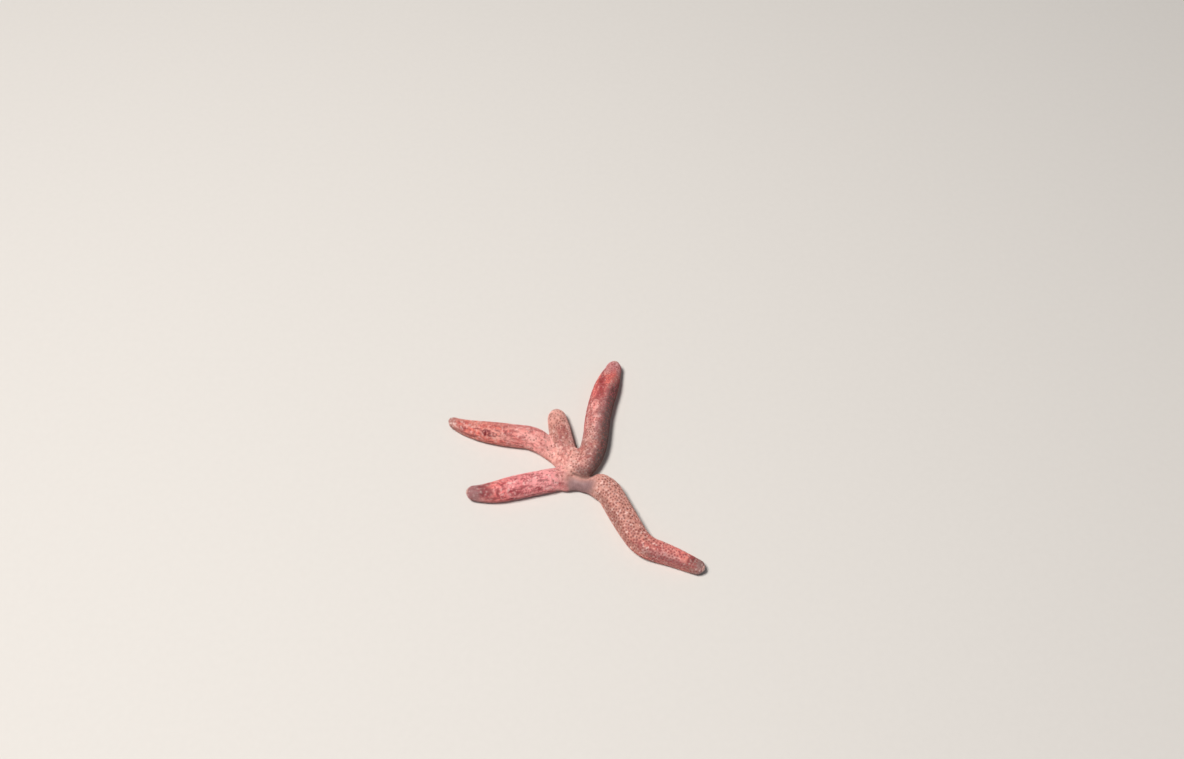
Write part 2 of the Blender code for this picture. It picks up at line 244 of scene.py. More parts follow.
# Lengths in mm. The pairs are where something begins or ends, and its fade.
skinLook = {
    "coat": 0.28,             # the granules' height: the skin lies this far inside the solids
    "ringStep": 1.0, "ringPoints": 48, "capRings": 12, "lobeRings": 40, "lobeSides": 60, "mouthSides": 40,
    "capEnd": 86, "lobeEnd": 88,       # where rounded ends and lobes stop, in degrees
    "unionVoxel": 0.42, "cutVoxel": 0.25, "voxel": 0.375,
    "relaxRounds": 3, "relaxShare": 0.5,
    "blendRounds": 16,        # softening where the arms run into the disc
    "blendReach": (7, 6),     # past the disc
    "blendFloor": (1.2, 1.5),
    "creaseHold": 0.9,        # share of it that a sharp crease keeps off
    "cornerRounds": 45,
    "swellSize": 7.0, "swellRelief": 0.16,      # slow swells of the body wall: spacing and depth
    "plateSize": 2.1, "plateRelief": 0.10,      # the skeletal plates under the skin
    "reliefFloor": (1.0, 1.5),
    "dimple": 0.13, "dimpleReach": 0.5,         # how far the skin sinks at a pore and around it
    "poreEdge": (0.15, 0.2),  # how far outside a pore the skin still has all its colour
}

# Paths across the disc, as (x, y) from the mouth, each with a width and a fade. These stay sharp:
# far right arm over long arm, short arm over far left arm, short arm beside far right arm.
creases = (
    {"path": ((2.0, -2.2), (6.0, -3.4), (14.0, -4.2)), "width": 0.8, "fade": 1.6},
    {"path": ((-6.5, 6.5), (-11.0, 20.7)), "width": 0.9, "fade": 1.6},
    {"path": ((3.5, 9.5), (4.4, 15.0)), "width": 0.8, "fade": 1.5},
)
# more softening where the near left arm runs into the web
softCorner = {"path": ((-4.5, -7.5), (-1.0, -9.5), (3.0, -10.5)), "width": 1.5, "fade": 2.5}
# the smooth grey mauve band from the disc's near edge to the long arm's neck: partly its own colour, partly
# painted shade on this flank, which faces down and forward
neckBand = {"path": ((1.6, -8.0), (4.5, -9.0), (8.2, -9.0)), "width": 0.5, "fade": 5.6}
# no pores in it or close to it
poreFreeBand = {**neckBand, "fade": 8.5}
# a pale ridge from the near left arm over the disc, and a pale line along the top of the long neck that is a
# painted highlight where the top catches the light
paleRidge = {"path": ((-13.0, -4.2), (-5.5, -1.6), (-3.4, 4.0), (-5.0, 10.0)), "width": 1.2, "fade": 4.0}
neckHighlight = {"path": ((1.9, -4.4), (5.6, -5.0), (12.6, -5.6)), "width": 0.3, "fade": 1.1}
# painted shade along the crease where the far right arm overhangs the long arm's neck
creaseShade = {"path": ((1.6, -3.0), (6.0, -3.9), (11.0, -4.4)), "width": 0.0, "fade": 1.0}
# a pale crown on the disc's high lobe: partly its own paler colour, partly a painted highlight where the top
# catches the light
paleCrown = {"path": ((-2.5, 4.5), (-2.0, 6.5)), "width": 2.5, "fade": 6.0}


def pathAmount(points, band):
    # 1 within a path's width, fading to 0
    best = np.full(len(points), np.inf)
    spots = points[:, :2] - body["mouthAt"]
    path = np.array(band["path"])
    for start, end in zip(path, path[1:]):
        run = end - start
        share = np.clip((spots - start) @ run / (run @ run), 0, 1)
        best = np.minimum(best, np.hypot(*(spots - start - share[:, None] * run).T))
    return ease((band["width"] + band["fade"] - best) / band["fade"])


def armTube(arm, inset):
    end = armLength(arm) - arm["tip"]
    stations = np.linspace(0, end, round(end / skinLook["ringStep"]) + 1)
    cap = np.radians(np.linspace(0, skinLook["capEnd"], skinLook["capRings"]))[1:]
    places = np.concatenate([stations, end + (arm["tip"] - inset) * np.sin(cap)])
    shrink = np.concatenate([np.ones(len(stations)), np.cos(cap)])[:, None]
    x, y, heading = [line[:, None] for line in spineAt(arm, places)]
    half = (halfWidth(arm, places) - inset)[:, None]
    base = (liftAt(arm, places) + inset)[:, None]
    height = 2 * body["roundness"] * (half + inset) - 2 * inset
    middle = body["widestAt"] * height
    across, up = outline(skinLook["ringPoints"])
    z = base + middle + (up * height - middle) * shrink
    return tube(np.stack([*beside(x, y, heading, -across * half * shrink), z], 2))


def discLobe(across, along, radius, height, inset):
    # one rounded lobe of the disc, flat below
    profile = []
    for rise in np.radians(np.linspace(-1, 1, skinLook["lobeRings"]) * skinLook["lobeEnd"]):
        low = max(math.sin(rise), -body["widestAt"] / (1 - body["widestAt"]))
        share = body["widestAt"] + (1 - body["widestAt"]) * low
        profile.append(((radius - inset) * math.cos(rise), inset + share * (height - 2 * inset)))
    centre = (body["mouthAt"][0] + across, body["mouthAt"][1] + along)
    return tube(turnedRings(profile, skinLook["lobeSides"], centre))


def furrowWidth(half):
    # the groove under an arm is narrower where the arm is slender
    return body["furrowWidth"] * np.minimum(1.0, half / body["furrowFullFrom"])


# What is cut away beneath: half of the groove's outline as (across, up) shares of its width and depth,
# where it begins as a share of the mouth's radius, and the mouth as (radius share, height)
cutLook = {"side": ((0.5, -0.8), (0.5, 0.2), (0.36, 0.75)), "from": 0.4, "tipClear": 1.6, "step": 1.0,
           "mouth": ((1.2, -1.5), (1.0, 0.3), (0.85, 1.8), (0.55, body["mouthDepth"]))}


def furrowTube(arm):
    # the groove under an arm, from the mouth to just short of the tip
    across, up = np.array([(-u, v) for u, v in cutLook["side"]] + [(0, 1), *cutLook["side"][::-1]]).T
    places = np.arange(cutLook["from"] * body["mouthRadius"], armLength(arm) - cutLook["tipClear"],
                       cutLook["step"])
    x, y, heading = [line[:, None] for line in spineAt(arm, places)]
    width = furrowWidth(halfWidth(arm, places))[:, None]
    base = (liftAt(arm, places) + skinLook["coat"])[:, None]
    return tube(np.stack([*beside(x, y, heading, across * width), base + up * body["furrowDepth"]], 2))


def mouthCone():
    profile = [(share * body["mouthRadius"], z) for share, z in cutLook["mouth"]]
    return tube(turnedRings(profile, skinLook["mouthSides"], body["mouthAt"]))


# cells along each side of the noise's lattice, which repeats, and where in it the origin lies
noiseCells, noiseStart = 32, 100.0


def softNoise(points, size, seed):
    # smooth lattice noise from -1 to 1, with swells about size mm apart
    grid = np.random.default_rng(seed).uniform(-1, 1, (noiseCells,) * 3)
    spot = points / size + noiseStart
    cell = np.floor(spot).astype(int)
    share = ease(spot - cell)
    total = np.zeros(len(points))
    for corner in np.ndindex(2, 2, 2):
        index = (cell + corner) % noiseCells
        weight = np.prod(np.where(corner, share, 1 - share), axis=1)
        total += weight * grid[index[:, 0], index[:, 1], index[:, 2]]
    return total


def smoothed(points, edges, rounds, amount):
    # each point moves amount of the way to the middle of its neighbours
    count = np.bincount(edges.ravel(), minlength=len(points))[:, None]
    for _ in range(rounds):
        total = np.zeros_like(points)
        for axis in range(3):
            total[:, axis] = (np.bincount(edges[:, 0], points[edges[:, 1], axis], len(points))
                              + np.bincount(edges[:, 1], points[edges[:, 0], axis], len(points)))
        points = points + (total / count - points) * amount
    return points


def buildSkin():
    inset = skinLook["coat"]
    parts = [armTube(arm, inset) for arm in arms.values()]
    parts += [discLobe(*lobe, inset) for lobe in body["lobes"]]
    whole = remeshed(makeMesh("whole", joinParts(parts)), skinLook["unionVoxel"])
    grooves = joinParts([furrowTube(arm) for arm in arms.values()] + [mouthCone()])
    cutter = placed("cutter", remeshed(makeMesh("cut", grooves), skinLook["cutVoxel"]))
    cut = modified(whole, "BOOLEAN", operation="DIFFERENCE", solver="MANIFOLD", object=cutter)
    bpy.data.objects.remove(cutter)
    skin = remeshed(cut, skinLook["voxel"])
    points, edges = pointsOf(skin), fetched(skin.edges, "vertices", 2)
    loops, sizes = fetched(skin.loops, "vertex_index"), fetched(skin.polygons, "loop_total")
    points = smoothed(points, edges, skinLook["relaxRounds"], skinLook["relaxShare"])
    (past, fade), (floor, rise) = skinLook["blendReach"], skinLook["blendFloor"]
    blend = ease((body["discRadius"] + past - mouthReach(points)) / fade)
    blend *= ease((points[:, 2] - floor) / rise)
    for crease in creases:
        blend *= 1 - skinLook["creaseHold"] * pathAmount(points, crease)
    points = smoothed(points, edges, skinLook["blendRounds"], skinLook["relaxShare"] * blend[:, None])
    corner = blend * pathAmount(points, softCorner)
    points = smoothed(points, edges, skinLook["cornerRounds"], skinLook["relaxShare"] * corner[:, None])
    # swells and skeletal plates press in from outside, but not under the animal
    normals = normalsOf((points, loops, sizes))
    swell = softNoise(points, skinLook["swellSize"], seeds["swell"]) - 1
    plates = softNoise(points, skinLook["plateSize"], seeds["plates"]) - 1
    relief = skinLook["swellRelief"] * swell / 2 + skinLook["plateRelief"] * plates / 2
    floor, rise = skinLook["reliefFloor"]
    points = points + normals * (relief * ease((points[:, 2] - floor) / rise))[:, None]
    print("skin:", len(points), "points,", int((sizes - 2).sum()), "triangles")
    return points, loops, sizes, normals


def normalsOf(shape):
    mesh = makeMesh("normals", shape)
    normals = fetched(mesh.vertices, "normal", 3, np.float32).astype(float)
    bpy.data.meshes.remove(mesh)
    return normals


# mm between the places on a middle line that points are compared with, and how many points at once
stationStep, atOnce = 0.5, 5000


def placesOn(points):
    # for each arm: how far along it each point is, the offset across, its turn round the arm
    # (0 at the left side, 90 on top) and how far it is outside the arm's sides
    found = {}
    for name, arm in arms.items():
        length = armLength(arm)
        stations = np.arange(0, length + 0.1, stationStep)
        x, y, heading = spineAt(arm, stations)
        near = np.concatenate([((part[:, 0, None] - x) ** 2 + (part[:, 1, None] - y) ** 2).argmin(1)
                               for part in np.array_split(points, 1 + len(points) // atOnce)])
        dx, dy = points[:, 0] - x[near], points[:, 1] - y[near]
        ahead = dx * np.cos(heading[near]) + dy * np.sin(heading[near])
        across = dy * np.cos(heading[near]) - dx * np.sin(heading[near])
        along = np.clip(stations[near] + ahead, 0, length)
        half = halfWidth(arm, along)
        height = 2 * body["roundness"] * half
        up = points[:, 2] - liftAt(arm, along) - body["widestAt"] * height
        turn = np.degrees(np.arctan2(up / (0.5 * height), across / half))
        found[name] = {"along": along, "across": across, "turn": turn, "half": half,
                       "outside": np.hypot(dx, dy) - half}
    return found


def nearestArm(found):
    # the name of the arm that each point belongs to
    outside = np.stack([place["outside"] for place in found.values()])
    return np.array(list(found))[np.argmin(outside, axis=0)]


# Markings, shared by the skin and the coat: coral rose, pale pink, grey mauve, rosy blush, maroon ember,
# a brown that is painted shade on shaded flanks and in a crease and that darkens two arms' ends, a net of
# red threads and light flecks. A few pale and grey mauve patches are painted light and shade on the flanks.
# Each row of pairs says how strong a mark is along an arm, in mm from the mouth. Each patch is (mark, along,
# turn in degrees, length, breadth, strength), with lengths in mm. Each ring is (along, turn, half its
# length, half its breadth), then the mark and strength of its rim, and of what it rings.
markings = {
    "arm_far_left": {
        "rose": ((0, 0.0), (14, 0.1), (24, 0.25), (34, 0.4), (46, 0.55), (58, 0.55), (64, 0.4), (68, 0.2)),
        "pale": ((0, 0.5), (14, 0.85), (24, 0.9), (34, 0.8), (42, 0.6), (50, 0.3), (68, 0.1)),
        "mauve": ((55, 0.0), (62, 0.2), (68, 0.6)),
        "blush": ((10, 0.0), (18, 0.2), (32, 0.2), (42, 0.0)),
        "net": ((0, 0.35), (18, 0.4), (32, 0.45), (40, 0.5), (50, 0.55), (60, 0.55), (66, 0.1)),
        "fleck": ((0, 0.4), (12, 0.4), (40, 0.4), (56, 0.5), (68, 0.6)),
        "patches": (
            ("ember", 44.5, 46, 4.4, 1.1, 1.0), ("ember", 48.3, 55, 1.4, 3.0, 1.0),
            ("ember", 38.5, 62, 1.4, 2.8, 0.8), ("ember", 31.0, 60, 3.0, 1.2, 0.3),
            ("ember", 53.0, 78, 4.2, 0.8, 0.7), ("ember", 58.5, 62, 4.6, 0.9, 0.7),
            ("ember", 34.0, 86, 4.4, 0.6, 0.4), ("rose", 38.0, 70, 5.0, 2.4, 0.6),
            ("rose", 51.5, 52, 2.4, 2.0, 1.0), ("rose", 44.0, 108, 8.0, 2.0, 0.7),
            ("ember", 46.5, 66, 3.0, 0.9, 0.9), ("ember", 42.0, 72, 2.6, 0.9, 0.8),
            ("rose", 60.0, 92, 9.0, 1.4, 1.0), ("pale", 56.0, 84, 7.0, 1.2, 0.8),
            # the brown patch at 59 mm, low on the left flank near the end, is painted shade
            ("pale", 41.0, 40, 3.0, 1.6, 0.8), ("shadeAndDark", 59.0, 12, 16.0, 3.0, 0.35),
            ("pale", 38.0, 48, 6.0, 3.0, 0.8), ("rose", 36.0, 120, 34.0, 4.6, 0.6),
            ("mauve", 34.0, 122, 28.0, 4.6, 0.3),
            ("fleck", 65.0, 38, 3.0, 2.2, 1.0)),
        "rings": ((47.4, 60, 1.6, 1.3, "ember", 1.0, "rose", 0.6),
                  (43.8, 54, 1.7, 0.9, "ember", 0.9, "pale", 0.6)),
    },
    "arm_short": {
        "rose": ((0, 0.05), (34, 0.05)),
        "pale": ((0, 0.8), (6, 0.55), (10, 0.1), (22, 0.0), (27, 0.3), (31, 0.55), (34, 0.7)),
        "mauve": ((8, 0.0), (12, 0.25), (18, 0.25), (24, 0.05), (34, 0.0)),
        "blush": ((0, 0.0),),
        "net": ((0, 0.35), (12, 0.4), (20, 0.4), (26, 0.1)),
        "fleck": ((0, 0.4), (14, 0.5), (34, 0.4)),
        "patches": (
            ("ember", 15.5, 80, 2.6, 1.4, 0.3), ("ember", 18.5, 88, 1.6, 1.2, 0.3),
            # the pale patch on the right flank (turn 140) is painted light on a flank that the lamp leaves
            # in shade; the grey mauve patch darkens the left flank beside the far left arm
            ("ember", 21.5, 108, 1.2, 3.0, 0.35), ("pale", 17.0, 140, 22.0, 4.4, 0.75),
            ("mauve", 12.0, 14, 15.0, 4.0, 0.4)),
    },
    "arm_far_right": {
        "rose": ((0, 0.0), (24, 0.1), (34, 0.25), (40, 0.5), (46, 0.85), (58, 0.85), (62, 0.4), (68, 0.1)),
        "pale": ((0, 0.6), (8, 0.45), (16, 0.15), (26, 0.5), (38, 0.45), (44, 0.15), (54, 0.0),
                 (60, 0.1), (65, 0.6)),
        "mauve": ((9, 0.0), (16, 0.3), (22, 0.2), (34, 0.1), (44, 0.0), (57, 0.0), (61, 0.5), (68, 0.8)),
        "blush": ((20, 0.0), (30, 0.2), (44, 0.2), (56, 0.0), (62, 0.3), (68, 0.45)),
        "net": ((0, 0.35), (18, 0.45), (30, 0.2), (44, 0.45), (56, 0.5), (62, 0.1)),
        "fleck": ((0, 0.5), (20, 0.45), (44, 0.3), (68, 0.35)),
        "patches": (
            ("ember", 53.5, 66, 8.0, 3.6, 0.75), ("ember", 49.5, 52, 3.0, 1.8, 0.45),
            ("rose", 37.0, 12, 34.0, 4.4, 0.7), ("rose", 58.5, 104, 7.0, 3.2, 1.0),
            ("ember", 42.0, 12, 30.0, 4.2, 0.5), ("ember", 40.0, 30, 22.0, 2.2, 0.5),
            ("ember", 34.5, 24, 7.0, 1.6, 0.6),
            ("ember", 58.5, 50, 6.5, 1.5, 0.85), ("pale", 59.0, 74, 6.5, 1.5, 0.9),
            ("ember", 46.5, 80, 11.0, 3.6, 0.65), ("mauve", 26.0, 92, 4.0, 2.6, 0.7),
            ("mauve", 20.5, 98, 4.0, 3.0, 0.7), ("mauve", 12.0, 86, 5.0, 3.0, 0.5),
            ("mauve", 19.0, 12, 18.0, 4.6, 0.6), ("mauve", 33.0, 96, 4.0, 2.6, 0.6),
            # the brown and grey mauve patches low on the right flank (turns 158 and 130) are painted shade
            # on the flank that faces away from the light
            ("shadeAndDark", 31.0, 158, 60.0, 11.5, 0.8), ("mauve", 28.0, 130, 56.0, 8.5, 0.6),
            ("ember", 17.0, 40, 8.0, 2.2, 0.35), ("ember", 24.5, 46, 2.4, 1.2, 0.4),
            ("ember", 10.5, 60, 3.0, 1.2, 0.3)),
        "rings": ((38.0, 70, 4.5, 2.7, "ember", 0.4, "pale", 1.0),
                  (38.0, 70, 2.1, 1.0, "rose", 0.6, "rose", 0.6)),
    },
    "arm_long": {
        "rose": ((0, 0.0), (44, 0.05), (52, 0.2), (60, 0.35), (72, 0.55), (76, 0.5), (79, 0.15), (83, 0.05)),
        "pale": ((0, 0.25), (12, 0.3), (17, 0.25), (26, 0.1), (36, 0.0), (58, 0.1), (66, 0.3), (74, 0.1)),
        "mauve": ((0, 0.1), (12, 0.1), (17, 0.0), (75, 0.0), (78.5, 0.6), (83, 0.8)),
        "blush": ((54, 0.0), (62, 0.2), (72, 0.15), (76, 0.0)),
        "net": ((14, 0.0), (40, 0.1), (52, 0.35), (60, 0.35), (66, 0.1)),
        "fleck": ((10, 0.1), (18, 0.6), (60, 0.75), (68, 0.3), (83, 0.5)),
        "patches": (
            ("ember", 75.8, 70, 3.2, 8.0, 0.75), ("rose", 69.0, 50, 9.0, 4.0, 0.7),
            # the grey mauve patch at 65 mm and the brown one at 67 mm, low on the right flank, are painted
            # shade
            ("pale", 66.0, 118, 8.0, 2.6, 0.5), ("mauve", 65.0, 132, 26.0, 4.4, 0.5),
            ("shadeAndDark", 67.0, 156, 28.0, 5.0, 0.4),
            ("ember", 52.0, 122, 2.6, 1.2, 0.3), ("ember", 60.0, 88, 1.4, 2.2, 0.3),
            ("ember", 56.0, 104, 2.0, 1.6, 0.3),
            # brown patches: at 8 mm on the left flank, painted shade where the far right arm overhangs the
            # neck; at 34 mm low on the right flank, painted shade; at 79 mm, a darkening of the end
            ("shadeAndDark", 8.0, 22, 16.0, 6.0, 0.6), ("shadeAndDark", 34.0, 150, 40.0, 5.0, 0.3),
            ("shadeAndDark", 79.0, 70, 6.0, 10.0, 0.35)),
    },
    "arm_near_left": {
        "rose": ((0, 0.05), (8, 0.1), (18, 0.3), (24, 0.6), (34, 0.85), (38, 0.9), (42, 0.6), (50.5, 0.1)),
        "pale": ((0, 0.3), (8, 0.7), (18, 0.9), (26, 0.5), (34, 0.3), (40, 0.1), (50.5, 0.0)),
        "mauve": ((36, 0.0), (41, 0.45), (45, 0.85), (50.5, 0.85)),
        "blush": ((2, 0.0), (9, 0.6), (28, 0.6), (38, 0.3), (44, 0.15), (50.5, 0.2)),
        "net": ((0, 0.25), (8, 0.6), (30, 0.7), (42, 0.65), (46, 0.2)),
        "fleck": ((0, 0.1), (8, 0.45), (30, 0.5), (38, 0.3), (50.5, 0.4)),
        "patches": (
            ("ember", 35.5, 60, 1.6, 4.0, 0.7), ("ember", 29.0, 25, 3.0, 1.0, 0.5),
            ("ember", 20.0, 48, 3.6, 0.9, 0.5), ("ember", 41.0, 70, 6.0, 4.6, 0.75),
            # the brown patch at 46 mm darkens the top of the end
            ("ember", 42.5, 112, 5.0, 2.6, 0.6), ("shadeAndDark", 46.0, 75, 8.0, 10.0, 0.2),
            ("ember", 14.0, 70, 5.0, 0.8, 0.5), ("ember", 17.0, 98, 4.0, 0.8, 0.5),
            ("ember", 12.0, 40, 4.0, 0.9, 0.5),
            ("ember", 38.0, 24, 6.0, 2.0, 0.6), ("rose", 32.0, 100, 6.0, 2.6, 1.0),
            ("rose", 27.0, 8, 34.0, 5.0, 0.7), ("fleck", 27.0, 22, 5.0, 2.0, 0.5)),
    },
}
markNames = ("rose", "pale", "mauve", "blush", "ember", "shadeAndDark", "net", "fleck")

# Streaks run lengthwise in the colour. length, breadth and bend, how far they wander, are in mm, and
# fine is the size of the finer streaks for each unit of the broad ones. Each mark has how far they
# shift it and the share of the other kind, and emberFrom is where ember begins and its fade.
streaks = {"length": 6.0, "breadth": 1.7, "bend": 1.5, "fine": 0.55, "rose": (0.6, 0.6),
           "pale": (0.5, -0.4), "ember": (0.85, 0.4), "emberFrom": (0.32, 0.35)}

# How loosely the markings are drawn. The wobble's size and shifts are in mm, each edge is (where a
# mark ends, its fade) as shares of its half size, and the rest are strengths.
drawing = {"wobble": 2.6, "bandShift": 1.6, "patchShift": 0.9, "patchEdge": (1.35, 0.7),
           "ringEdge": (0.9, 0.3), "rim": 0.36, "clearing": 0.8, "crown": 0.75, "ridge": 0.85,
           "line": 0.35, "crease": 0.6, "band": 0.9}


def turnGap(turn, side):
    # the angle from one side to another round an arm, the short way, in radians
    return np.radians((turn - side + 180) % 360 - 180)


def layMark(marks, mine, mark, amount):
    # a pale marking also clears most of the red from under itself
    marks[mark][mine] = np.maximum(marks[mark][mine], amount)
    if mark == "pale":
        for red in ("rose", "ember"):
            marks[red][mine] *= 1 - drawing["clearing"] * amount


def paintArm(marks, mine, place, paint, wander, number):
    along, turn, half = place["along"][mine], place["turn"][mine], place["half"][mine]
    for mark in ("rose", "pale", "mauve", "blush", "net", "fleck"):
        at, amount = np.array(paint[mark]).T
        marks[mark][mine] = np.interp(along + drawing["bandShift"] * wander[0], at, amount)
    bent = np.radians(turn) + streaks["bend"] / half * wander[1]
    flow = np.stack([along / streaks["length"], half * np.cos(bent) / streaks["breadth"],
                     half * np.sin(bent) / streaks["breadth"]], 1)
    slow = softNoise(flow, 1.0, seeds["slowStreaks"] + number)
    fast = softNoise(flow, streaks["fine"], seeds["fastStreaks"] + number)
    busy = marks["net"][mine]
    for mark, way in (("rose", 1), ("pale", -1)):
        most, fine = streaks[mark]
        marks[mark][mine] += way * most * busy * (slow + fine * fast)
    (most, broad), (begin, fade) = streaks["ember"], streaks["emberFrom"]
    marks["ember"][mine] = most * busy * ease((fast + broad * slow - begin) / fade)
    reach, fade = drawing["patchEdge"]
    for mark, at, side, length, breadth, strength in paint["patches"]:
        alongGap = along - at + drawing["patchShift"] * wander[0]
        acrossGap = turnGap(turn, side) * half + drawing["patchShift"] * wander[1]
        gap = np.hypot(alongGap / (length / 2), acrossGap / (breadth / 2))
        layMark(marks, mine, mark, strength * ease((reach - gap) / fade))
    reach, fade = drawing["ringEdge"]
    for at, side, length, breadth, rimMark, rimAmount, innerMark, innerAmount in paint.get("rings", ()):
        gap = np.hypot((along - at) / length, turnGap(turn, side) * half / breadth)
        layMark(marks, mine, innerMark, innerAmount * ease((reach - gap) / fade))
        layMark(marks, mine, rimMark, rimAmount * ease(1 - np.abs(gap - 1) / drawing["rim"]))


def marksAt(points, found):
    # how strong each mark is at each point, from 0 to 1
    which = nearestArm(found)
    marks = {mark: np.zeros(len(points)) for mark in markNames}
    wander = np.stack([softNoise(points, drawing["wobble"], seeds[way])
                       for way in ("wanderAlong", "wanderAcross")])
    for number, name in enumerate(arms):
        mine = which == name
        paintArm(marks, mine, found[name], markings[name], wander[:, mine], number)
    for look, strength in ((paleCrown, "crown"), (paleRidge, "ridge")):
        marks["pale"] = np.maximum(marks["pale"], drawing[strength] * pathAmount(points, look))
    # the band's grey mauve is partly painted shade
    band, line = pathAmount(points, neckBand), drawing["line"] * pathAmount(points, neckHighlight)
    marks["mauve"] = np.maximum(marks["mauve"], band) * (1 - line)
    for mark in ("pale", "rose", "blush", "net", "fleck", "ember"):
        marks[mark] = np.clip(marks[mark], 0, 1) * (1 - drawing["band"] * band)
    # no threads or flecks under the painted shade
    for mark in ("net", "fleck"):
        marks[mark] *= 1 - marks["shadeAndDark"]
    # the painted highlight along the top of the neck
    marks["pale"] = np.maximum(marks["pale"], line)
    # painted shade in the crease under the far right arm's overhang
    marks["shadeAndDark"] = np.maximum(marks["shadeAndDark"], drawing["crease"] * pathAmount(points, creaseShade))
    return marks


def girthShare(turn):
    # share of the way round an arm, from the middle of its underside
    return ((turn + 90) % 360) / 360


def linear(code):
    # an sRGB hex value as linear red, green, blue, alpha
    shares = [int(code[i:i + 2], 16) / 255 for i in (1, 3, 5)]
    return [s / 12.92 if s <= 0.04045 else ((s + 0.055) / 1.055) ** 2.4 for s in shares] + [1.0]


def setInputs(tree, node, inputs):
    for socket, value in inputs.items():
        if isinstance(value, bpy.types.NodeSocket):
            tree.links.new(value, node.inputs[socket])
        else:
            node.inputs[socket].default_value = value


def addNode(tree, kind, inputs=None, give=0, **settings):
    # a node with its settings and links, of which one output is given back
    node = tree.nodes.new(kind)
    for setting, value in settings.items():
        setattr(node, setting, value)
    setInputs(tree, node, inputs or {})
    return node.outputs[give]


def newMaterial(name):
    # the material, its nodes and where each point is. Object coordinates are shared by every piece,
    # so the skin and the granules on it take the same mottling.
    material = bpy.data.materials.new(name)
    material.use_nodes = True
    return material, material.node_tree, addNode(material.node_tree, "ShaderNodeTexCoord", give="Object")


def finish(tree, color, relief, look):
    # colour and relief to the shader, with how rough the surface is and what it does to light
    strength, depth = look["relief"]
    bump = addNode(tree, "ShaderNodeBump", {"Height": relief, "Strength": strength, "Distance": depth * mm})
    setInputs(tree, tree.nodes["Principled BSDF"], {
        "Base Color": color, "Normal": bump, "Roughness": look["roughness"], "IOR": look["ior"]})


# Mix node sockets for colours
mixA, mixB, mixOut = 6, 7, 2

# Each pattern is (feature size in mm, the noise that gives 0, the noise that gives 1)
livery = {
    "sandPink": "#d8a092",    # ground colour of the long and the short arm
    "palePink": "#fcc7bb",
    "blushPink": "#f29da6",
    "coral": "#ec7e6f",
    "greyMauve": "#9e7b7b",
    "maroon": "#82292f",
    # the brown of the painted shade, and of the darker arm ends
    "shadeAndDarkBrown": "#463b39",
    "threadRed": "#a63742",
    "fleckCream": "#fde4dc",
    "poreBrown": "#9a5a51",
    "poreRed": "#c25b64",
    "threads": (3.0, 0.0, 1.0),
    "threadHalf": (0.07, 0.02),        # how far from its middle noise a thread ends, and is full
    "unbroken": (4.5, 0.36, 0.52),     # where threads are whole
    "flecks": (1.5, 0.54, 0.68),
    "mottle": (1.7, 0.3, 0.7),
    "mottleValue": (0.88, 1.12),       # how far the mottle darkens and lightens
}
# Each mark's colour, from the first laid to the last
bodyColors = (("pale", "palePink"), ("rose", "coral"), ("mauve", "greyMauve"), ("blush", "blushPink"),
              ("ember", "maroon"), ("shadeAndDark", "shadeAndDarkBrown"))

# In all the finishes, relief is the strength and depth in mm of the bumps
liveryFinish = {
    # calcite granules under a thin living skin: matte and softly lit, each a slightly different tone.
    # Their pits are drawn coarser than life, so that they show close to.
    "calcite_granules": {"value": (0.91, 1.09), "grain": 0.12, "detail": 1.0, "relief": (0.25, 0.03),
                         "roughness": 0.58, "ior": 1.4},
    # thin leathery skin between the granules: finely folded, and a little darker than they are, partly its
    # own colour and partly painted shade in the narrow gaps
    "thin_leathery_skin": {"value": 0.86, "grain": 0.3, "detail": 2.0, "relief": (0.3, 0.05),
                           "roughness": 0.5, "ior": 1.4},
}


def noiseBetween(tree, place, size, low, high, **settings):
    noise = addNode(tree, "ShaderNodeTexNoise", {"Vector": place, "Scale": 1 / (size * mm), **settings})
    return addNode(tree, "ShaderNodeMapRange", {"Value": noise, "From Min": low, "From Max": high})


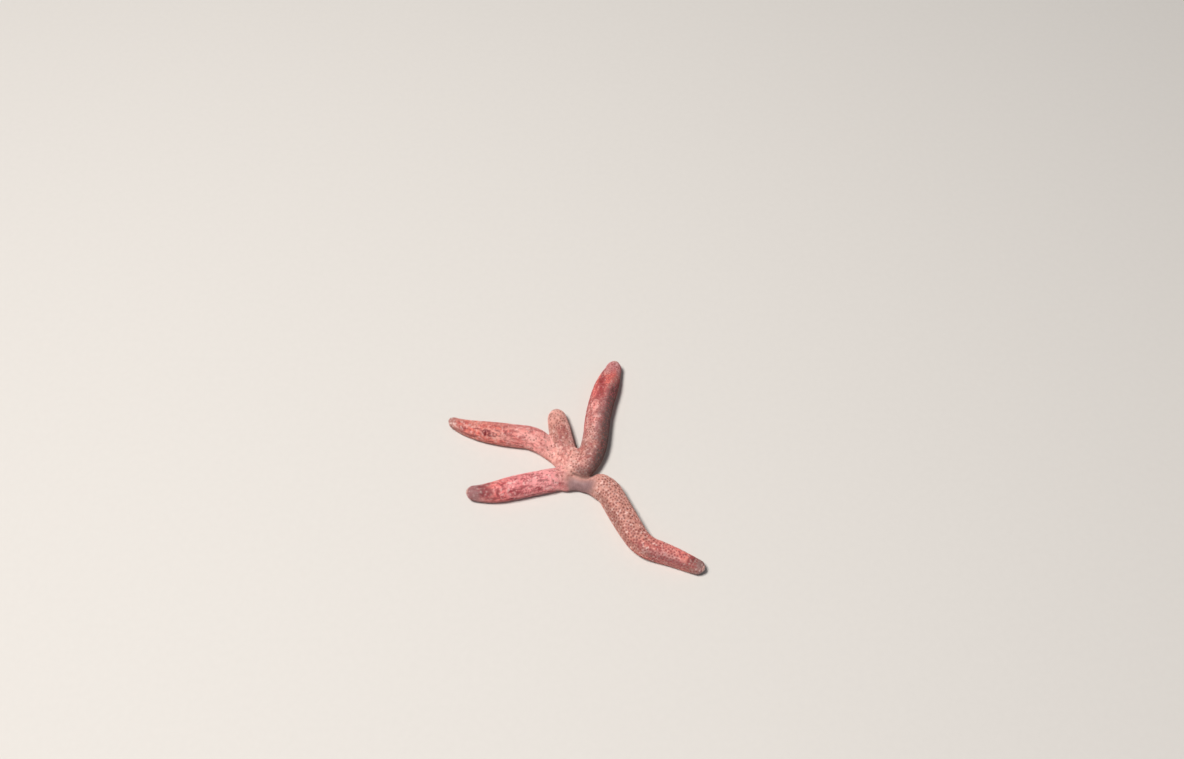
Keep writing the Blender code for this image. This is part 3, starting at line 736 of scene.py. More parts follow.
def liveryMaterial(name):
    # the body's colours, mixed by the marks
    look = liveryFinish[name]
    material, tree, place = newMaterial(name)
    mark = {fact: addNode(tree, "ShaderNodeAttribute", give="Fac", attribute_name=fact)
            for fact in (*markNames, "pore")}
    # threads run where a noise crosses its middle value, and break up where a slower one is low
    threads = noiseBetween(tree, place, *livery["threads"], Detail=2.0, Distortion=1.2)
    off = addNode(tree, "ShaderNodeMath", {0: threads, 1: 0.5}, operation="SUBTRACT")
    off = addNode(tree, "ShaderNodeMath", {0: off}, operation="ABSOLUTE")
    end, full = livery["threadHalf"]
    thin = addNode(tree, "ShaderNodeMapRange", {"Value": off, "From Min": end, "From Max": full})
    whole = noiseBetween(tree, place, *livery["unbroken"])
    flecks = noiseBetween(tree, place, *livery["flecks"])
    mottle = noiseBetween(tree, place, *livery["mottle"], Detail=2.0)
    low, high = livery["mottleValue"]
    shade = addNode(tree, "ShaderNodeMapRange", {"Value": mottle, "To Min": low, "To Max": high})
    own = look["value"]
    if name == "calcite_granules":
        tone = addNode(tree, "ShaderNodeAttribute", give="Fac", attribute_name="tone")
        own = addNode(tree, "ShaderNodeMapRange", {"Value": tone, "To Min": own[0], "To Max": own[1]})
    thin, flecks, value = [
        addNode(tree, "ShaderNodeMath", {0: first, 1: second}, operation="MULTIPLY")
        for first, second in ((thin, whole), (flecks, mark["fleck"]), (shade, own))]
    net = addNode(tree, "ShaderNodeMath", {0: thin, 1: mark["net"]}, operation="MULTIPLY")
    pores = addNode(tree, "ShaderNodeMix", {0: mark["rose"], mixA: linear(livery["poreBrown"]),
                                            mixB: linear(livery["poreRed"])}, mixOut, data_type="RGBA")
    color = linear(livery["sandPink"])
    layers = [(mark[fact], linear(livery[code])) for fact, code in bodyColors]
    for amount, over in [*layers, (net, linear(livery["threadRed"])),
                         (flecks, linear(livery["fleckCream"])), (mark["pore"], pores)]:
        color = addNode(tree, "ShaderNodeMix", {0: amount, mixA: color, mixB: over}, mixOut,
                        data_type="RGBA")
    varied = addNode(tree, "ShaderNodeHueSaturation", {"Value": value, "Color": color})
    grain = addNode(tree, "ShaderNodeTexNoise", {
        "Vector": place, "Scale": 1 / (look["grain"] * mm), "Detail": look["detail"]})
    finish(tree, varied, grain, look)
    return material


# The noise that gives none and all of the second colour
cloudEnds = (0.35, 0.65)
# Materials of two colours, mixed by their own clouds or by a mark. cloud is the clouds' size in mm,
# and value how far they darken and lighten a mix that a mark makes.
clouded = {
    # thin muscular tissue, wet: pale and shiny
    "wet_tube_foot": {"colors": ("#dcae93", "#efd8c0"), "cloud": 0.6, "relief": (0.2, 0.05),
                      "roughness": 0.3, "ior": 1.5},
    # calcite under a thin skin: smooth and barely glossy
    "skinned_calcite_spine": {"colors": ("#c88f80", "#e6bda9"), "cloud": 0.5, "relief": (0.2, 0.05),
                              "roughness": 0.55, "ior": 1.5},
    # calcite with hardly any skin on it: chalky
    "bare_calcite_plate": {"colors": ("#b5877e", "#d8aca2"), "cloud": 0.8, "relief": (0.2, 0.05),
                           "roughness": 0.5, "ior": 1.5},
    # a cushion of pigment cups, wet: deep red and shiny
    "red_eye_pigment": {"colors": ("#5e0d0b", "#a01812"), "cloud": 0.15, "relief": (0.2, 0.05),
                        "roughness": 0.3, "ior": 1.5},
    # thin wet gill skin: smooth, faintly shiny, and the colour of the pore it stands in
    "wet_gill_skin": {"colors": (livery["poreBrown"], livery["poreRed"]), "mark": "rose", "cloud": 0.4,
                      "value": (0.8, 1.25), "relief": (0.2, 0.05), "roughness": 0.35, "ior": 1.38},
    # porous calcite: chalky, paler than the skin, with painted shade in its grooves
    "porous_calcite": {"colors": ("#f6b9af", "#c98379"), "mark": "grooveShade", "cloud": 0.15,
                       "relief": (0.3, 0.03), "roughness": 0.7, "ior": 1.5},
}


def cloudedMaterial(name):
    look = clouded[name]
    material, tree, place = newMaterial(name)
    cloud = addNode(tree, "ShaderNodeTexNoise", {
        "Vector": place, "Scale": 1 / (look["cloud"] * mm), "Detail": 2.0})
    low, high = cloudEnds
    stretch = {"Value": cloud, "From Min": low, "From Max": high}
    if "mark" in look:
        by = addNode(tree, "ShaderNodeAttribute", give="Fac", attribute_name=look["mark"])
    else:
        by = addNode(tree, "ShaderNodeMapRange", stretch)
    first, second = look["colors"]
    color = addNode(tree, "ShaderNodeMix", {0: by, mixA: linear(first), mixB: linear(second)}, mixOut,
                    data_type="RGBA")
    if "value" in look:
        cloud = addNode(tree, "ShaderNodeMapRange", stretch)
        low, high = look["value"]
        value = addNode(tree, "ShaderNodeMapRange", {"Value": cloud, "To Min": low, "To Max": high})
        color = addNode(tree, "ShaderNodeHueSaturation", {"Value": value, "Color": color})
    finish(tree, color, cloud, look)
    return material


def turned(profile, sides):
    # a closed turned shape from (radius, height) pairs, foot to crown
    points, loops, sizes = tube(turnedRings([pair for pair in profile if pair[0] > 0], sides))
    if profile[-1][0] > 0:
        return points, loops, sizes
    last, here = len(points) - sides, np.arange(sides)
    crown = np.stack([last + here, last + (here + 1) % sides, np.full(sides, len(points))], 1)
    return (np.concatenate([points, [(0, 0, profile[-1][1])]]),
            np.concatenate([loops[:-sides], crown.ravel()]),
            np.concatenate([sizes[:-1], np.full(sides, 3)]))


def setMany(shape, roots, axes, widths, heights, spins):
    # copies of a shape stood on roots along axes
    unit, loops, sizes = shape
    guide = np.where(np.abs(axes[:, 2:3]) < 0.9, (0.0, 0.0, 1.0), (1.0, 0.0, 0.0))
    first = unitLength(np.cross(guide, axes))
    second = np.cross(axes, first)
    cos, sin = np.cos(spins)[:, None], np.sin(spins)[:, None]
    sideways, forward = first * cos + second * sin, second * cos - first * sin
    scaled = unit[None] * np.stack([widths, widths, heights], 1)[:, None]
    points = (roots[:, None] + scaled[..., :1] * sideways[:, None]
              + scaled[..., 1:2] * forward[:, None] + scaled[..., 2:] * axes[:, None])
    offsets = np.arange(len(roots))[:, None] * len(unit)
    return points.reshape(-1, 3), (loops[None] + offsets).ravel(), np.tile(sizes, len(roots))


def sprinkle(mesh, spacing, density, seed):
    # points spread over a mesh at least spacing mm apart
    tree = bpy.data.node_groups.new("sprinkle", "GeometryNodeTree")
    tree.interface.new_socket("Geometry", in_out="INPUT", socket_type="NodeSocketGeometry")
    tree.interface.new_socket("Geometry", in_out="OUTPUT", socket_type="NodeSocketGeometry")
    given = addNode(tree, "NodeGroupInput")
    spread = addNode(tree, "GeometryNodeDistributePointsOnFaces", {
        "Mesh": given, "Distance Min": spacing * mm, "Density Max": density / mm ** 2, "Seed": seed},
        distribute_method="POISSON")
    dots = addNode(tree, "GeometryNodePointsToVertices", {"Points": spread})
    setInputs(tree, tree.nodes.new("NodeGroupOutput"), {0: dots})
    points = pointsOf(modified(mesh, "NODES", node_group=tree))
    bpy.data.node_groups.remove(tree)
    return points


def treeOf(points):
    tree = KDTree(len(points))
    for number, point in enumerate(points):
        tree.insert(point, number)
    tree.balance()
    return tree


def onSurface(surface, points):
    # the nearest places on a surface, with its outward directions there
    spots, normals = zip(*[surface.find_nearest(point)[:2] for point in points])
    return np.array(spots), np.array(normals)


def nodeNames(points, found):
    # the CAD node that each place belongs to
    which = nearestArm(found)
    names = np.full(len(points), "disc", dtype=object)
    for name, arm in arms.items():
        mine = (which == name) & (mouthReach(points) > body["discRadius"])
        lengths = ("base", "middle", "tip") if len(arm["partedAt"]) == 2 else ("base", "tip")
        section = np.searchsorted(arm["partedAt"], found[name]["along"])
        for index, label in enumerate(lengths):
            names[mine & (section == index)] = f"{name}_{label}"
    return names


# The skin's bake map: each arm's girth is laid out flat in its own strip, (row, start in mm)
skinMap = {
    "strips": {"arm_long": (0, 0), "arm_near_left": (0, 85), "arm_far_left": (1, 0),
               "arm_far_right": (1, 71), "arm_short": (2, 0)},
    "rowHeight": 37.5,
    "girth": 36.0,
    "width": 142.0,
    "height": 113.0,
}


def skinBakeMap(found, loops, sizes):
    starts = np.cumsum(sizes) - sizes
    which = nearestArm(found)[loops[starts]]
    uv = np.zeros((len(loops), 2))
    for name, (row, start) in skinMap["strips"].items():
        mine = np.repeat(which == name, sizes)
        share = girthShare(found[name]["turn"])[loops]
        top = np.repeat(np.maximum.reduceat(share, starts), sizes)
        share = np.where((top - share) > 0.5, share + 1, share)   # faces that cross the seam below
        u = (start + found[name]["along"][loops]) / skinMap["width"]
        v = (row * skinMap["rowHeight"] + share * skinMap["girth"]) / skinMap["height"]
        uv[mine] = np.stack([u, v], 1)[mine]
    return uv


# Each coat piece's own bake map: how many disc radii the disc's has across it, the height below which
# granules of the disc lie on its underside, and the clear edges
coatMap = {"discSpan": 2.4, "underside": 2.0, "discEdge": 0.004, "armEdge": 0.01}


def rootMap(points, found, names, node):
    # places on an unwrap of one length of arm, or of the disc with its top and underside side by side
    if node == "disc":
        spots = (points[:, :2] - body["mouthAt"]) / (coatMap["discSpan"] * body["discRadius"]) + 0.5
        below = points[:, 2] < coatMap["underside"]
        u = spots[:, 0] / 2 + 0.5 * below
        return np.stack([u, spots[:, 1]], 1).clip(coatMap["discEdge"], 1 - coatMap["discEdge"])
    place = found[node.rsplit("_", 1)[0]]
    low, high = place["along"][names == node].min(), place["along"][names == node].max()
    spots = np.stack([(place["along"] - low) / (high - low), girthShare(place["turn"])], 1)
    return spots * (1 - 2 * coatMap["armEdge"]) + coatMap["armEdge"]


# The sieve plate: turn and rise are in degrees, on the disc's high lobe. The grooves begin at a share
# of its radius and are full after another, wander in waves of (how far, how many round it, how many
# outward), and have painted shade in them from a depth on.
madreporite = {"turn": 172.0, "rise": 42.0, "radius": 1.1, "height": 0.8, "sunk": 0.2, "foot": 0.3,
               "sides": 132, "rings": 18, "arc": (80, 4), "grooves": 22, "grooveDepth": 0.055,
               "settled": 0.05, "grooveFrom": (0.18, 0.2), "wander": ((3.0, 0, 9), (1.5, 3, 5)),
               "shadeFrom": (0.1, 0.8)}


def madreporiteFrame():
    # where the sieve plate sits, and the way out from the disc there
    across, along, radius, height = body["lobes"][0]
    turn, rise = math.radians(madreporite["turn"]), math.radians(madreporite["rise"])
    upper = (1 - body["widestAt"]) * height
    spot = np.array([body["mouthAt"][0] + across + radius * math.cos(rise) * math.cos(turn),
                     body["mouthAt"][1] + along + radius * math.cos(rise) * math.sin(turn),
                     body["widestAt"] * height + upper * math.sin(rise)])
    return spot, unitLength(np.array([math.cos(rise) * math.cos(turn) / radius,
                                      math.cos(rise) * math.sin(turn) / radius, math.sin(rise) / upper]))


poreLook = {
    "spacing": 1.25,
    "density": 9.0,           # most tries for each square mm
    "size": {"arm_long": 0.31, "arm_short": 0.21, "arm_far_right": 0.23,
             "arm_far_left": 0.14, "arm_near_left": 0.13},
    "missing": {"arm_long": 0.1, "arm_short": 0.3, "arm_far_right": 0.25,
                "arm_far_left": 0.55, "arm_near_left": 0.65},      # share of the pores left out
    "vary": (0.6, 1.25),
    "swell": (4.0, 0.3),      # spacing of places with larger pores, and how much larger
    "crownLess": 0.45,        # how much smaller they are on the pale crown
    "least": 0.1,             # smallest pore that is kept
    "halo": (0.25, 0.62),     # how far around a pore the granules take its colour, and how much
    "haloTint": 0.8,
    "from": -14.0,            # pores sit between this turn and its mirror, in degrees
    "above": 1.8, "tipClear": 2.6, "sieveClear": 0.9,      # and clear of the floor, ends and sieve plate
}


def pickPores(skinMesh):
    # where the pores are, their radius, and how far the granules around each take its colour
    look = poreLook
    at = sprinkle(skinMesh, look["spacing"], look["density"], seeds["pores"])
    found = placesOn(at)
    which = nearestArm(found)
    keep = at[:, 2] > look["above"]
    luck = dice.uniform(0, 1, len(at))
    size = np.zeros(len(at))
    for name, arm in arms.items():
        mine, turn = which == name, found[name]["turn"]
        upper = (turn > look["from"]) | (turn < -180 - look["from"])
        short = found[name]["along"] < armLength(arm) - look["tipClear"]
        keep &= ~mine | (upper & short & (luck > look["missing"][name]))
        size[mine] = look["size"][name]
    keep &= np.linalg.norm(at - madreporiteFrame()[0], axis=1) > madreporite["radius"] + look["sieveClear"]
    spacing, more = look["swell"]
    size *= dice.uniform(*look["vary"], len(at)) * (1 + more * softNoise(at, spacing, seeds["poreSize"]))
    size *= (1 - pathAmount(at, poreFreeBand)) * (1 - look["crownLess"] * pathAmount(at, paleCrown))
    keep &= size > look["least"]
    halo = dice.uniform(*look["halo"], len(at))
    return {"at": at[keep], "size": size[keep], "halo": halo[keep]}


def poreTint(points, pores):
    # how far outside the nearest pore each point is, and how much it takes the pore's colour
    tree = treeOf(pores["at"])
    index, gap = map(np.array, zip(*[tree.find(point)[1:] for point in points]))
    gap = gap - pores["size"][index]
    return gap, poreLook["haloTint"] * ease(1 - gap / pores["halo"][index])


coatLook = {
    "spacing": 0.385,         # life size is nearer 0.2, drawn coarser so that single granules show
    "packing": 0.355,         # least distance while they are sprinkled
    "density": 30.0,          # most tries for each square mm
    "breadth": 0.52,          # radius of a granule for each unit of spacing
    "profile": ((1.0, -0.35), (0.9, 0.5), (0.0, 1.0)), "sides": 6,
    "widths": (0.9, 1.1), "heights": (0.82, 1.0),
    "neckLower": 0.45, "neckAlike": 0.6,       # how much lower and more alike on the smooth neck
    # rounds of pushing apart, how many neighbours each granule looks at, and how hard they push
    "rounds": 3, "neighbours": 6, "push": 0.35,
    "poreClear": (0.5, 0.3),  # spacings that they are pushed, and at least kept, outside a pore
    "sieveClear": 0.15,
    # clear beside, above and at the end of a groove, and above the mouth
    "grooveClear": 0.12, "grooveAbove": 0.3, "grooveEnd": 1.4, "mouthAbove": 0.6,
    "patch": 0.0015,          # half the breadth of a granule's patch on the bake map
}


def evenedOut(points, surface, pores, keepOff):
    # neighbours closer than the spacing push each other apart over the surface, and off the pores
    least = 0.01
    poreTree = treeOf(pores)
    for _ in range(coatLook["rounds"]):
        near = treeOf(points)
        rows = [near.find_n(point, coatLook["neighbours"] + 1)[1:] for point in points]
        others, gaps = [np.array([[n[item] for n in row] for row in rows]) for item in (1, 2)]
        away = points[:, None] - points[others]
        strength = np.maximum(0, coatLook["spacing"] - gaps) / np.maximum(gaps, least)
        points = points + coatLook["push"] * (away * strength[..., None]).sum(1)
        centres, index, gap = map(np.array, zip(*[poreTree.find(point) for point in points]))
        gap, clear = gap[:, None], keepOff[index][:, None]
        pushed = centres + (points - centres) / np.maximum(gap, least) * clear
        points, normals = onSurface(surface, np.where(gap < clear, pushed, points))
    return points, normals


def inFurrow(points, found):
    # inside the groove or the mouth, where no granules grow
    look, which = coatLook, nearestArm(found)
    hidden = (mouthReach(points) < body["mouthRadius"] + look["grooveClear"]) & (
        points[:, 2] < body["mouthDepth"] + look["mouthAbove"])
    for name, arm in arms.items():
        along, across, half = [found[name][fact] for fact in ("along", "across", "half")]
        roof = skinLook["coat"] + body["furrowDepth"] + look["grooveAbove"]
        low = points[:, 2] < liftAt(arm, along) + roof
        within = np.abs(across) < furrowWidth(half) / 2 + look["grooveClear"]
        ahead = (along > 0) & (along < armLength(arm) - look["grooveEnd"])
        hidden |= low & within & ahead & ((which == name) | (along < body["discRadius"]))
    return hidden


def addCoat(plainSkin, surface, pores, clearings):
    look = coatLook
    granules = sprinkle(plainSkin, look["packing"], look["density"], seeds["granules"])
    granules = granules[~inFurrow(granules, placesOn(granules))]
    pushed, kept = np.multiply(look["poreClear"], look["spacing"])
    granules, normals = evenedOut(granules, surface, pores["at"], pores["size"] + pushed)
    gap, tint = poreTint(granules, pores)
    keep = gap > kept
    sieve = (madreporiteFrame()[0], madreporite["radius"] + look["sieveClear"])
    for centre, reach in [sieve, *clearings]:
        keep &= np.linalg.norm(granules - centre, axis=1) > reach
    granules, normals = granules[keep], normals[keep]
    found = placesOn(granules)
    names, marks = nodeNames(granules, found), marksAt(granules, found)
    smooth, count = pathAmount(granules, neckBand), len(granules)
    width = look["spacing"] * look["breadth"] * dice.uniform(*look["widths"], count)
    height = skinLook["coat"] * dice.uniform(*look["heights"], count) * (1 - look["neckLower"] * smooth)
    spin = dice.uniform(0, math.pi, count)
    alike = look["neckAlike"] * smooth
    marks["pore"] = tint[keep]
    marks["tone"] = dice.uniform(0, 1, count) * (1 - alike) + alike / 2
    unit = turned(look["profile"], look["sides"])
    for node in sorted(set(names)):
        mine = names == node
        shape = setMany(unit, granules[mine], normals[mine], width[mine], height[mine], spin[mine])
        shape[0][:, 2] = np.maximum(shape[0][:, 2], 0.0)
        facts = {mark: np.repeat(values[mine], len(unit[0])) for mark, values in marks.items()}
        roots = np.repeat(rootMap(granules, found, names, node)[mine], len(unit[0]), axis=0)
        uv = roots + np.tile(unit[0][:, :2] * look["patch"], (int(mine.sum()), 1))
        addPiece("granules_" + node, shape, "calcite_granules", uv[shape[1]], facts)
        print("granules on", node, int(mine.sum()), "with", int((shape[2] - 2).sum()), "triangles")


papulaLook = {
    "count": 4, "radius": 0.10, "height": 0.25, "widths": (0.85, 1.2), "heights": (0.7, 1.1),
    "spread": 0.55,           # share of the pore's radius that they stand from its middle
    "profile": ((1.0, -0.3), (0.85, 0.6), (0.0, 1.0)), "sides": 5,
    "aslant": (0.31, 0.52, 0.79),      # any direction that no pore faces
}


def addPapulae(pores, surface):
    # skin gills: a few blunt fingers drawn back into each pore
    look, count = papulaLook, papulaLook["count"]
    roots = np.repeat(pores["at"], count, axis=0)
    axes = np.repeat(onSurface(surface, pores["at"])[1], count, axis=0)
    turn = np.tile(np.arange(count) * 2 * math.pi / count, len(pores["at"])) + np.repeat(
        dice.uniform(0, 2 * math.pi, len(pores["at"])), count)
    side = unitLength(np.cross(axes, look["aslant"]))
    reach = (np.repeat(pores["size"], count) * look["spread"])[:, None]
    roots = roots + (side * np.cos(turn)[:, None] + np.cross(axes, side) * np.sin(turn)[:, None]) * reach
    width = look["radius"] * dice.uniform(*look["widths"], len(roots))
    height = look["height"] * dice.uniform(*look["heights"], len(roots))
    unit = turned(look["profile"], look["sides"])
    found = placesOn(roots)
    rose, which = marksAt(roots, found)["rose"], nearestArm(found)
    for name in arms:
        mine = which == name
        shape = setMany(unit, roots[mine], axes[mine], width[mine], height[mine], turn[mine])
        facts = {"rose": np.repeat(rose[mine], len(unit[0]))}
        addPiece("papulae_" + name, shape, "wet_gill_skin", facts=facts)
        print("papulae on", name, int(mine.sum()))


# Fingers beneath the animal. above is the height of their roots over the arm's lowest line, and lean
# and down are where they point, sideways and to the floor.
footLook = {
    "from": 3.4, "tipClear": 2.4, "spacing": 1.05, "across": 0.42, "above": 1.84, "lean": 0.25,
    "down": 1.0, "radius": 0.26, "length": 1.3, "sizes": (0.85, 1.05), "sides": 8,
    "profile": ((0.55, 0.0), (0.5, 0.35), (0.62, 0.7), (1.0, 0.86), (1.0, 0.95), (0.6, 1.0)),
    "material": "wet_tube_foot", "slot": "tube_feet"}
spineLook = {
    "from": 4.0, "tipClear": 2.8, "spacing": 0.62, "across": 0.14, "above": 0.85, "lean": 0.78,
    "down": 0.6, "radius": 0.2, "length": 0.95, "sizes": (0.88, 1.05), "sides": 7,
    "profile": ((1.0, -0.2), (1.0, 0.5), (0.8, 0.85), (0.35, 1.0)),
    "material": "skinned_calcite_spine", "slot": "granules"}
mouthSpineLook = {
    "fan": (-15, -5, 5, 15), "across": 0.15, "above": 0.85, "lean": 0.9,
    "down": 0.25, "radius": 0.24, "length": 1.25, "sides": 8,
    "profile": ((1.0, -0.2), (1.0, 0.5), (0.75, 0.85), (0.3, 1.0)),
    "material": "skinned_calcite_spine", "slot": "granules"}
floorGap = 0.02               # mm that every finger stays off the floor


def addFingers(piece, look, roots, axes, size, spins):
    unit = turned(look["profile"], look["sides"])
    shape = setMany(unit, roots, unitLength(axes), look["radius"] * size, look["length"] * size, spins)
    shape[0][:, 2] = np.maximum(shape[0][:, 2], floorGap)
    addPiece(piece, shape, look["material"])


def addRow(piece, arm, look, places, offset, lean):
    # fingers at places along an arm, offset to its left and leaning that way
    x, y, heading = spineAt(arm, places)
    left = np.stack([-np.sin(heading), np.cos(heading), np.zeros(len(heading))], 1)
    roots = np.stack([*beside(x, y, heading, offset), liftAt(arm, places) + look["above"]], 1)
    axes = left * lean[:, None] + (0, 0, -look["down"])
    addFingers(piece, look, roots, axes, dice.uniform(*look["sizes"], len(places)), places)


def addTubeFeet():
    # two rows in each groove, hanging from its roof, with a sucker at the end
    for name, arm in arms.items():
        places = np.arange(footLook["from"], armLength(arm) - footLook["tipClear"], footLook["spacing"] / 2)
        side = np.where(np.arange(len(places)) % 2, 1.0, -1.0)
        lean = dice.uniform(-footLook["lean"], footLook["lean"], len(places))
        addRow("tube_feet_" + name, arm, footLook, places, side * footLook["across"], lean)


def addFurrowSpines():
    # blunt spines that fold over each groove from its two edges
    for name, arm in arms.items():
        end = armLength(arm) - spineLook["tipClear"]
        places = np.repeat(np.arange(spineLook["from"], end, spineLook["spacing"]), 2)
        side = np.resize((1.0, -1.0), len(places))
        edge = furrowWidth(halfWidth(arm, places)) / 2 + spineLook["across"]
        addRow("furrow_spines_" + name, arm, spineLook, places, side * edge, -side * spineLook["lean"])


def addMouthSpines():
    # a fan of spines on each of the five jaws, pointing in over the mouth
    look = mouthSpineLook
    headings = sorted(arm["heading"] % 360 for arm in arms.values())
    after = headings[1:] + [headings[0] + 360]
    turns = np.radians([(a + b) / 2 + fan for a, b in zip(headings, after) for fan in look["fan"]])
    out = np.stack([np.cos(turns), np.sin(turns), np.zeros(len(turns))], 1)
    roots = out * (body["mouthRadius"] + look["across"]) + (*body["mouthAt"], look["above"])
    addFingers("mouth_spines", look, roots, (0, 0, -look["down"]) - out * look["lean"],
               np.ones(len(turns)), turns)


# rise, spread, drop and arc are in degrees. wave is (lobes round the edge, how far they stand out),
# edge is how far and how sharply it turns down, cups is (waves around, waves upward, their height), and
# clear is the share of the plate, or the mm around the eye, that no granule grows on.
shieldLook = {"rise": 18.0, "spread": 27.0, "flat": 0.85, "innermost": 0.05, "rings": 12, "steps": 44,
              "wave": (5, 0.05), "thick": 0.5, "edge": (0.16, 6), "knobs": 0.05, "knobSize": 0.55,
              "clear": 0.93}
eyeLook = {"drop": 34.0, "radius": 0.34, "height": 0.7, "sunk": 0.3, "rings": 14, "sides": 20,
           "arc": (8, 172), "cups": (9, 7, 0.07), "clear": 0.2}


def tipPlace(arm, rise, side):
    # places on an arm's rounded end, rise and side radians from straight ahead, and the ways out there
    end, height = armLength(arm) - arm["tip"], 2 * body["roundness"] * arm["tip"]
    ahead = np.cos(rise) * np.cos(side) * arm["tip"]
    x, y, heading = spineAt(arm, end + ahead)
    widest = body["widestAt"] * height
    below = np.where(rise > 0, 1 - body["widestAt"], body["undercut"]) * height
    z = liftAt(arm, end + ahead) + widest + np.sin(rise) * below
    spots = np.stack([*beside(x, y, heading, np.cos(rise) * np.sin(side) * arm["tip"]), z], -1)
    centre = np.array([*spineAt(arm, end)[:2], liftAt(arm, end) + widest])
    return spots, unitLength(spots - centre)


def addShield(name, arm):
    # the bare terminal plate: a low domed shield on the arm's end, with small knobs
    look = shieldLook
    (lobes, height), (down, power) = look["wave"], look["edge"]
    turns = 2 * math.pi * np.arange(look["steps"]) / look["steps"]
    outer, inner = [], []
    for share in np.linspace(look["innermost"], 1.0, look["rings"]):
        reach = np.radians(look["spread"]) * share * (1 + height * np.cos(lobes * turns))
        rise = np.radians(look["rise"]) + reach * np.sin(turns) * look["flat"]
        spots, outward = tipPlace(arm, rise, reach * np.cos(turns))
        knobs = look["knobs"] * (softNoise(spots, look["knobSize"], seeds["knobs"]) - 1)
        outer.append(spots + outward * (knobs - down * share ** power)[:, None])
        inner.append(spots - outward * look["thick"])
    shape = tube(outer + inner[::-1])
    piece = addPiece("terminal_plate_" + name, shape, "bare_calcite_plate")
    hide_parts(name + "_plate")
    middle = tipPlace(arm, np.radians([look["rise"]]), np.zeros(1))[0][0]
    return middle, arm["tip"] * math.radians(look["spread"]) * look["clear"]


def addEyeSpot(name, arm):
    # the red eye at the arm's end, below the terminal plate: a cushion of tiny cups
    look = eyeLook
    spots, outward = tipPlace(arm, np.radians([-look["drop"]]), np.zeros(1))
    arc = np.radians(np.linspace(*look["arc"], look["rings"]))
    ball = [(math.sin(a), -math.cos(a)) for a in arc]
    points, loops, sizes = turned(ball, look["sides"])
    around, up, depth = look["cups"]
    cups = 1 + depth * np.cos(around * np.arctan2(points[:, 1], points[:, 0])) * np.sin(up * points[:, 2])
    size = np.array([look["radius"]])
    shape = setMany((points * cups[:, None], loops, sizes), spots - outward * look["sunk"], outward,
                    size, size * look["height"], np.zeros(1))
    addPiece("eye_spot_" + name, shape, "red_eye_pigment")
    return spots[0], look["radius"] + look["clear"]


def addMadreporite():
    # the sieve plate: a low button with grooves that wander out from its middle
    look = madreporite
    spot, outward = madreporiteFrame()
    crown = look["height"] - look["sunk"]
    arc = np.radians(np.linspace(*look["arc"], look["rings"]))
    profile = [(1.0, -look["sunk"] - look["foot"]), (1.0, 0.0),
               *[(math.sin(a), crown * math.cos(a)) for a in arc]]
    turns = 2 * math.pi * np.arange(look["sides"]) / look["sides"]
    share, height = np.array(profile).T[..., None]
    wander = sum(far * np.sin(around * turns + out * share) for far, around, out in look["wander"])
    ridge = np.cos(look["grooves"] * turns + wander)
    (begin, fade), (shadeStart, shadeFade) = look["grooveFrom"], look["shadeFrom"]
    shown = ease((share - begin) / fade) * (height > 0.0)
    rings = np.array(turnedRings(profile, look["sides"])) * (look["radius"], look["radius"], 1.0)
    rings[..., 2] += look["grooveDepth"] * (ridge * shown) - look["settled"]
    # painted shade in the grooves, past a set depth
    facts = {"grooveShade": (ease((-ridge - shadeStart) / shadeFade) * shown).ravel()}
    one = np.ones(1)
    shape = setMany(tube(rings), spot[None], outward[None], one, one, 0 * one)
    piece = addPiece("sieve_plate", shape, "porous_calcite", facts=facts)
    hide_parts("madreporite")


studio = {
    "floor": "#d6d3ce",
    "floorSize": 4.0,         # metres
    "floorLevel": -0.02,      # mm, clear of the undersides
    "fibre": 3.0,             # mm
    "fibreValue": (0.98, 1.02),
    "floorRoughness": 0.9,
    "sky": "#dfe4ea",
    "skyStrength": 0.17,
    # name: (place in metres, aim, breadth, watts, colour)
    "lights": {
        "key": ((-0.50, -0.20, 1.60), (0, 0, 0), 0.42, 32.0, "#fffaf6"),
        "fill": ((0.9, -1.0, 1.2), (0, 0, 0), 1.2, 1.2, "#e6efff"),
    },
}


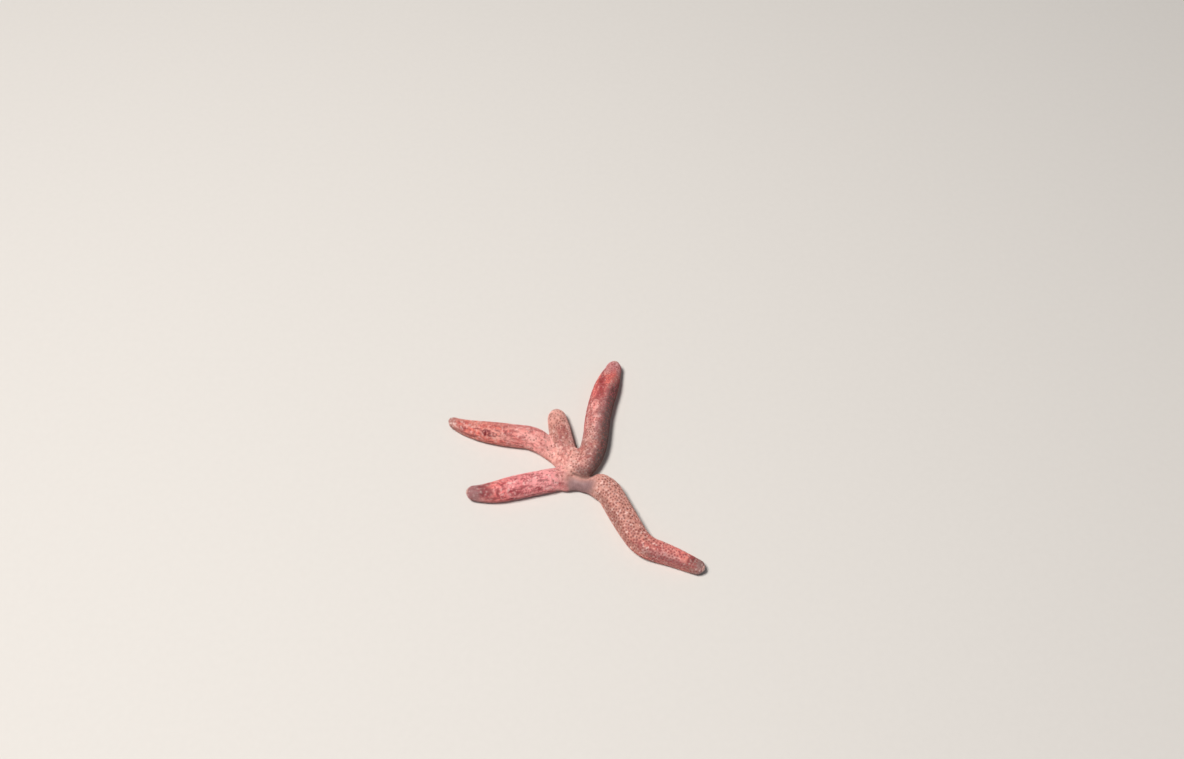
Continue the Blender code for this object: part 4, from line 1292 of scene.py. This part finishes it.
def addStudio():
    half, level = studio["floorSize"] / 2 / mm, studio["floorLevel"]
    corners = np.array([(x * half, y * half, level) for x, y in ((-1, -1), (1, -1), (1, 1), (-1, 1))])
    floor = placed("floor", makeMesh("floor", (corners, np.arange(4), np.array([4]))))
    # matte board: pale and even, with a fibre that is barely seen
    material, tree, place = newMaterial("pale_matte_board")
    fibre = addNode(tree, "ShaderNodeTexNoise", {
        "Vector": place, "Scale": 1 / (studio["fibre"] * mm), "Detail": 3.0})
    low, high = studio["fibreValue"]
    faint = addNode(tree, "ShaderNodeMapRange", {"Value": fibre, "To Min": low, "To Max": high})
    tint = addNode(tree, "ShaderNodeHueSaturation", {"Value": faint, "Color": linear(studio["floor"])})
    setInputs(tree, tree.nodes["Principled BSDF"], {
        "Base Color": tint, "Roughness": studio["floorRoughness"]})
    floor.data.materials.append(material)
    world = bpy.data.worlds.new("studio")
    world.use_nodes = True
    setInputs(world.node_tree, world.node_tree.nodes["Background"], {
        "Color": linear(studio["sky"]), "Strength": studio["skyStrength"]})
    bpy.context.scene.world = world
    for name, (place, aim, breadth, watts, color) in studio["lights"].items():
        light = bpy.data.lights.new(name, "AREA")
        light.size = breadth
        light.energy = watts
        light.color = linear(color)[:3]
        lamp = placed(name, light)
        lamp.location = place
        lamp.rotation_euler = (Vector(aim) - Vector(place)).to_track_quat("-Z", "Y").to_euler()
    bpy.context.scene.view_settings.view_transform = "Standard"


# The camera looks along +Y and down: place in mm, tilt in degrees from straight down
cameraLook = {"place": (9.34, -259.53, 484.67), "tilt": 32.495, "lens": 35.0, "sensor": 36.0,
              "clipFrom": 0.01}


def addCamera():
    lens = bpy.data.cameras.new("camera")
    lens.lens = cameraLook["lens"]
    lens.sensor_width = cameraLook["sensor"]
    lens.clip_start = cameraLook["clipFrom"]
    camera = placed("camera", lens)
    camera.location = Vector(cameraLook["place"]) * mm
    camera.rotation_euler = (math.radians(cameraLook["tilt"]), 0, 0)
    bpy.context.scene.camera = camera


addCamera()
addStudio()
materials = {name: liveryMaterial(name) for name in liveryFinish}
materials.update({name: cloudedMaterial(name) for name in clouded})
print("studio, camera and materials made")

points, loops, sizes, normals = buildSkin()
found = placesOn(points)
pores = pickPores(makeMesh("smooth_skin", (points, loops, sizes)))
poreGap, tint = poreTint(points, pores)
points = points - normals * (skinLook["dimple"] * ease(1 - poreGap / skinLook["dimpleReach"]))[:, None]
shape = (points, loops, sizes)
plainSkin = makeMesh("plain_skin", shape)
starts = np.cumsum(sizes) - sizes
surface = BVHTree.FromPolygons(points.tolist(), [loops[a:a + n].tolist() for a, n in zip(starts, sizes)])
pores["at"] = onSurface(surface, pores["at"])[0]
marks = marksAt(points, found)
edge, fade = skinLook["poreEdge"]
marks["pore"] = np.maximum(tint, ease((edge - poreGap) / fade))
skin = addPiece("skin", shape, "thin_leathery_skin", skinBakeMap(found, loops, sizes), marks)
flesh = [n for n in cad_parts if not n.endswith("_plate") and n != "madreporite"]
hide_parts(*flesh)
print("pores:", len(pores["at"]))

clearings = [addShield(name, arm) for name, arm in arms.items()]
clearings += [addEyeSpot(name, arm) for name, arm in arms.items()]
addMadreporite()
print("end plates, eye spots and sieve plate made")
addCoat(plainSkin, surface, pores, clearings)
addPapulae(pores, surface)
addTubeFeet()
addFurrowSpines()
addMouthSpines()
print("tube feet and spines made")
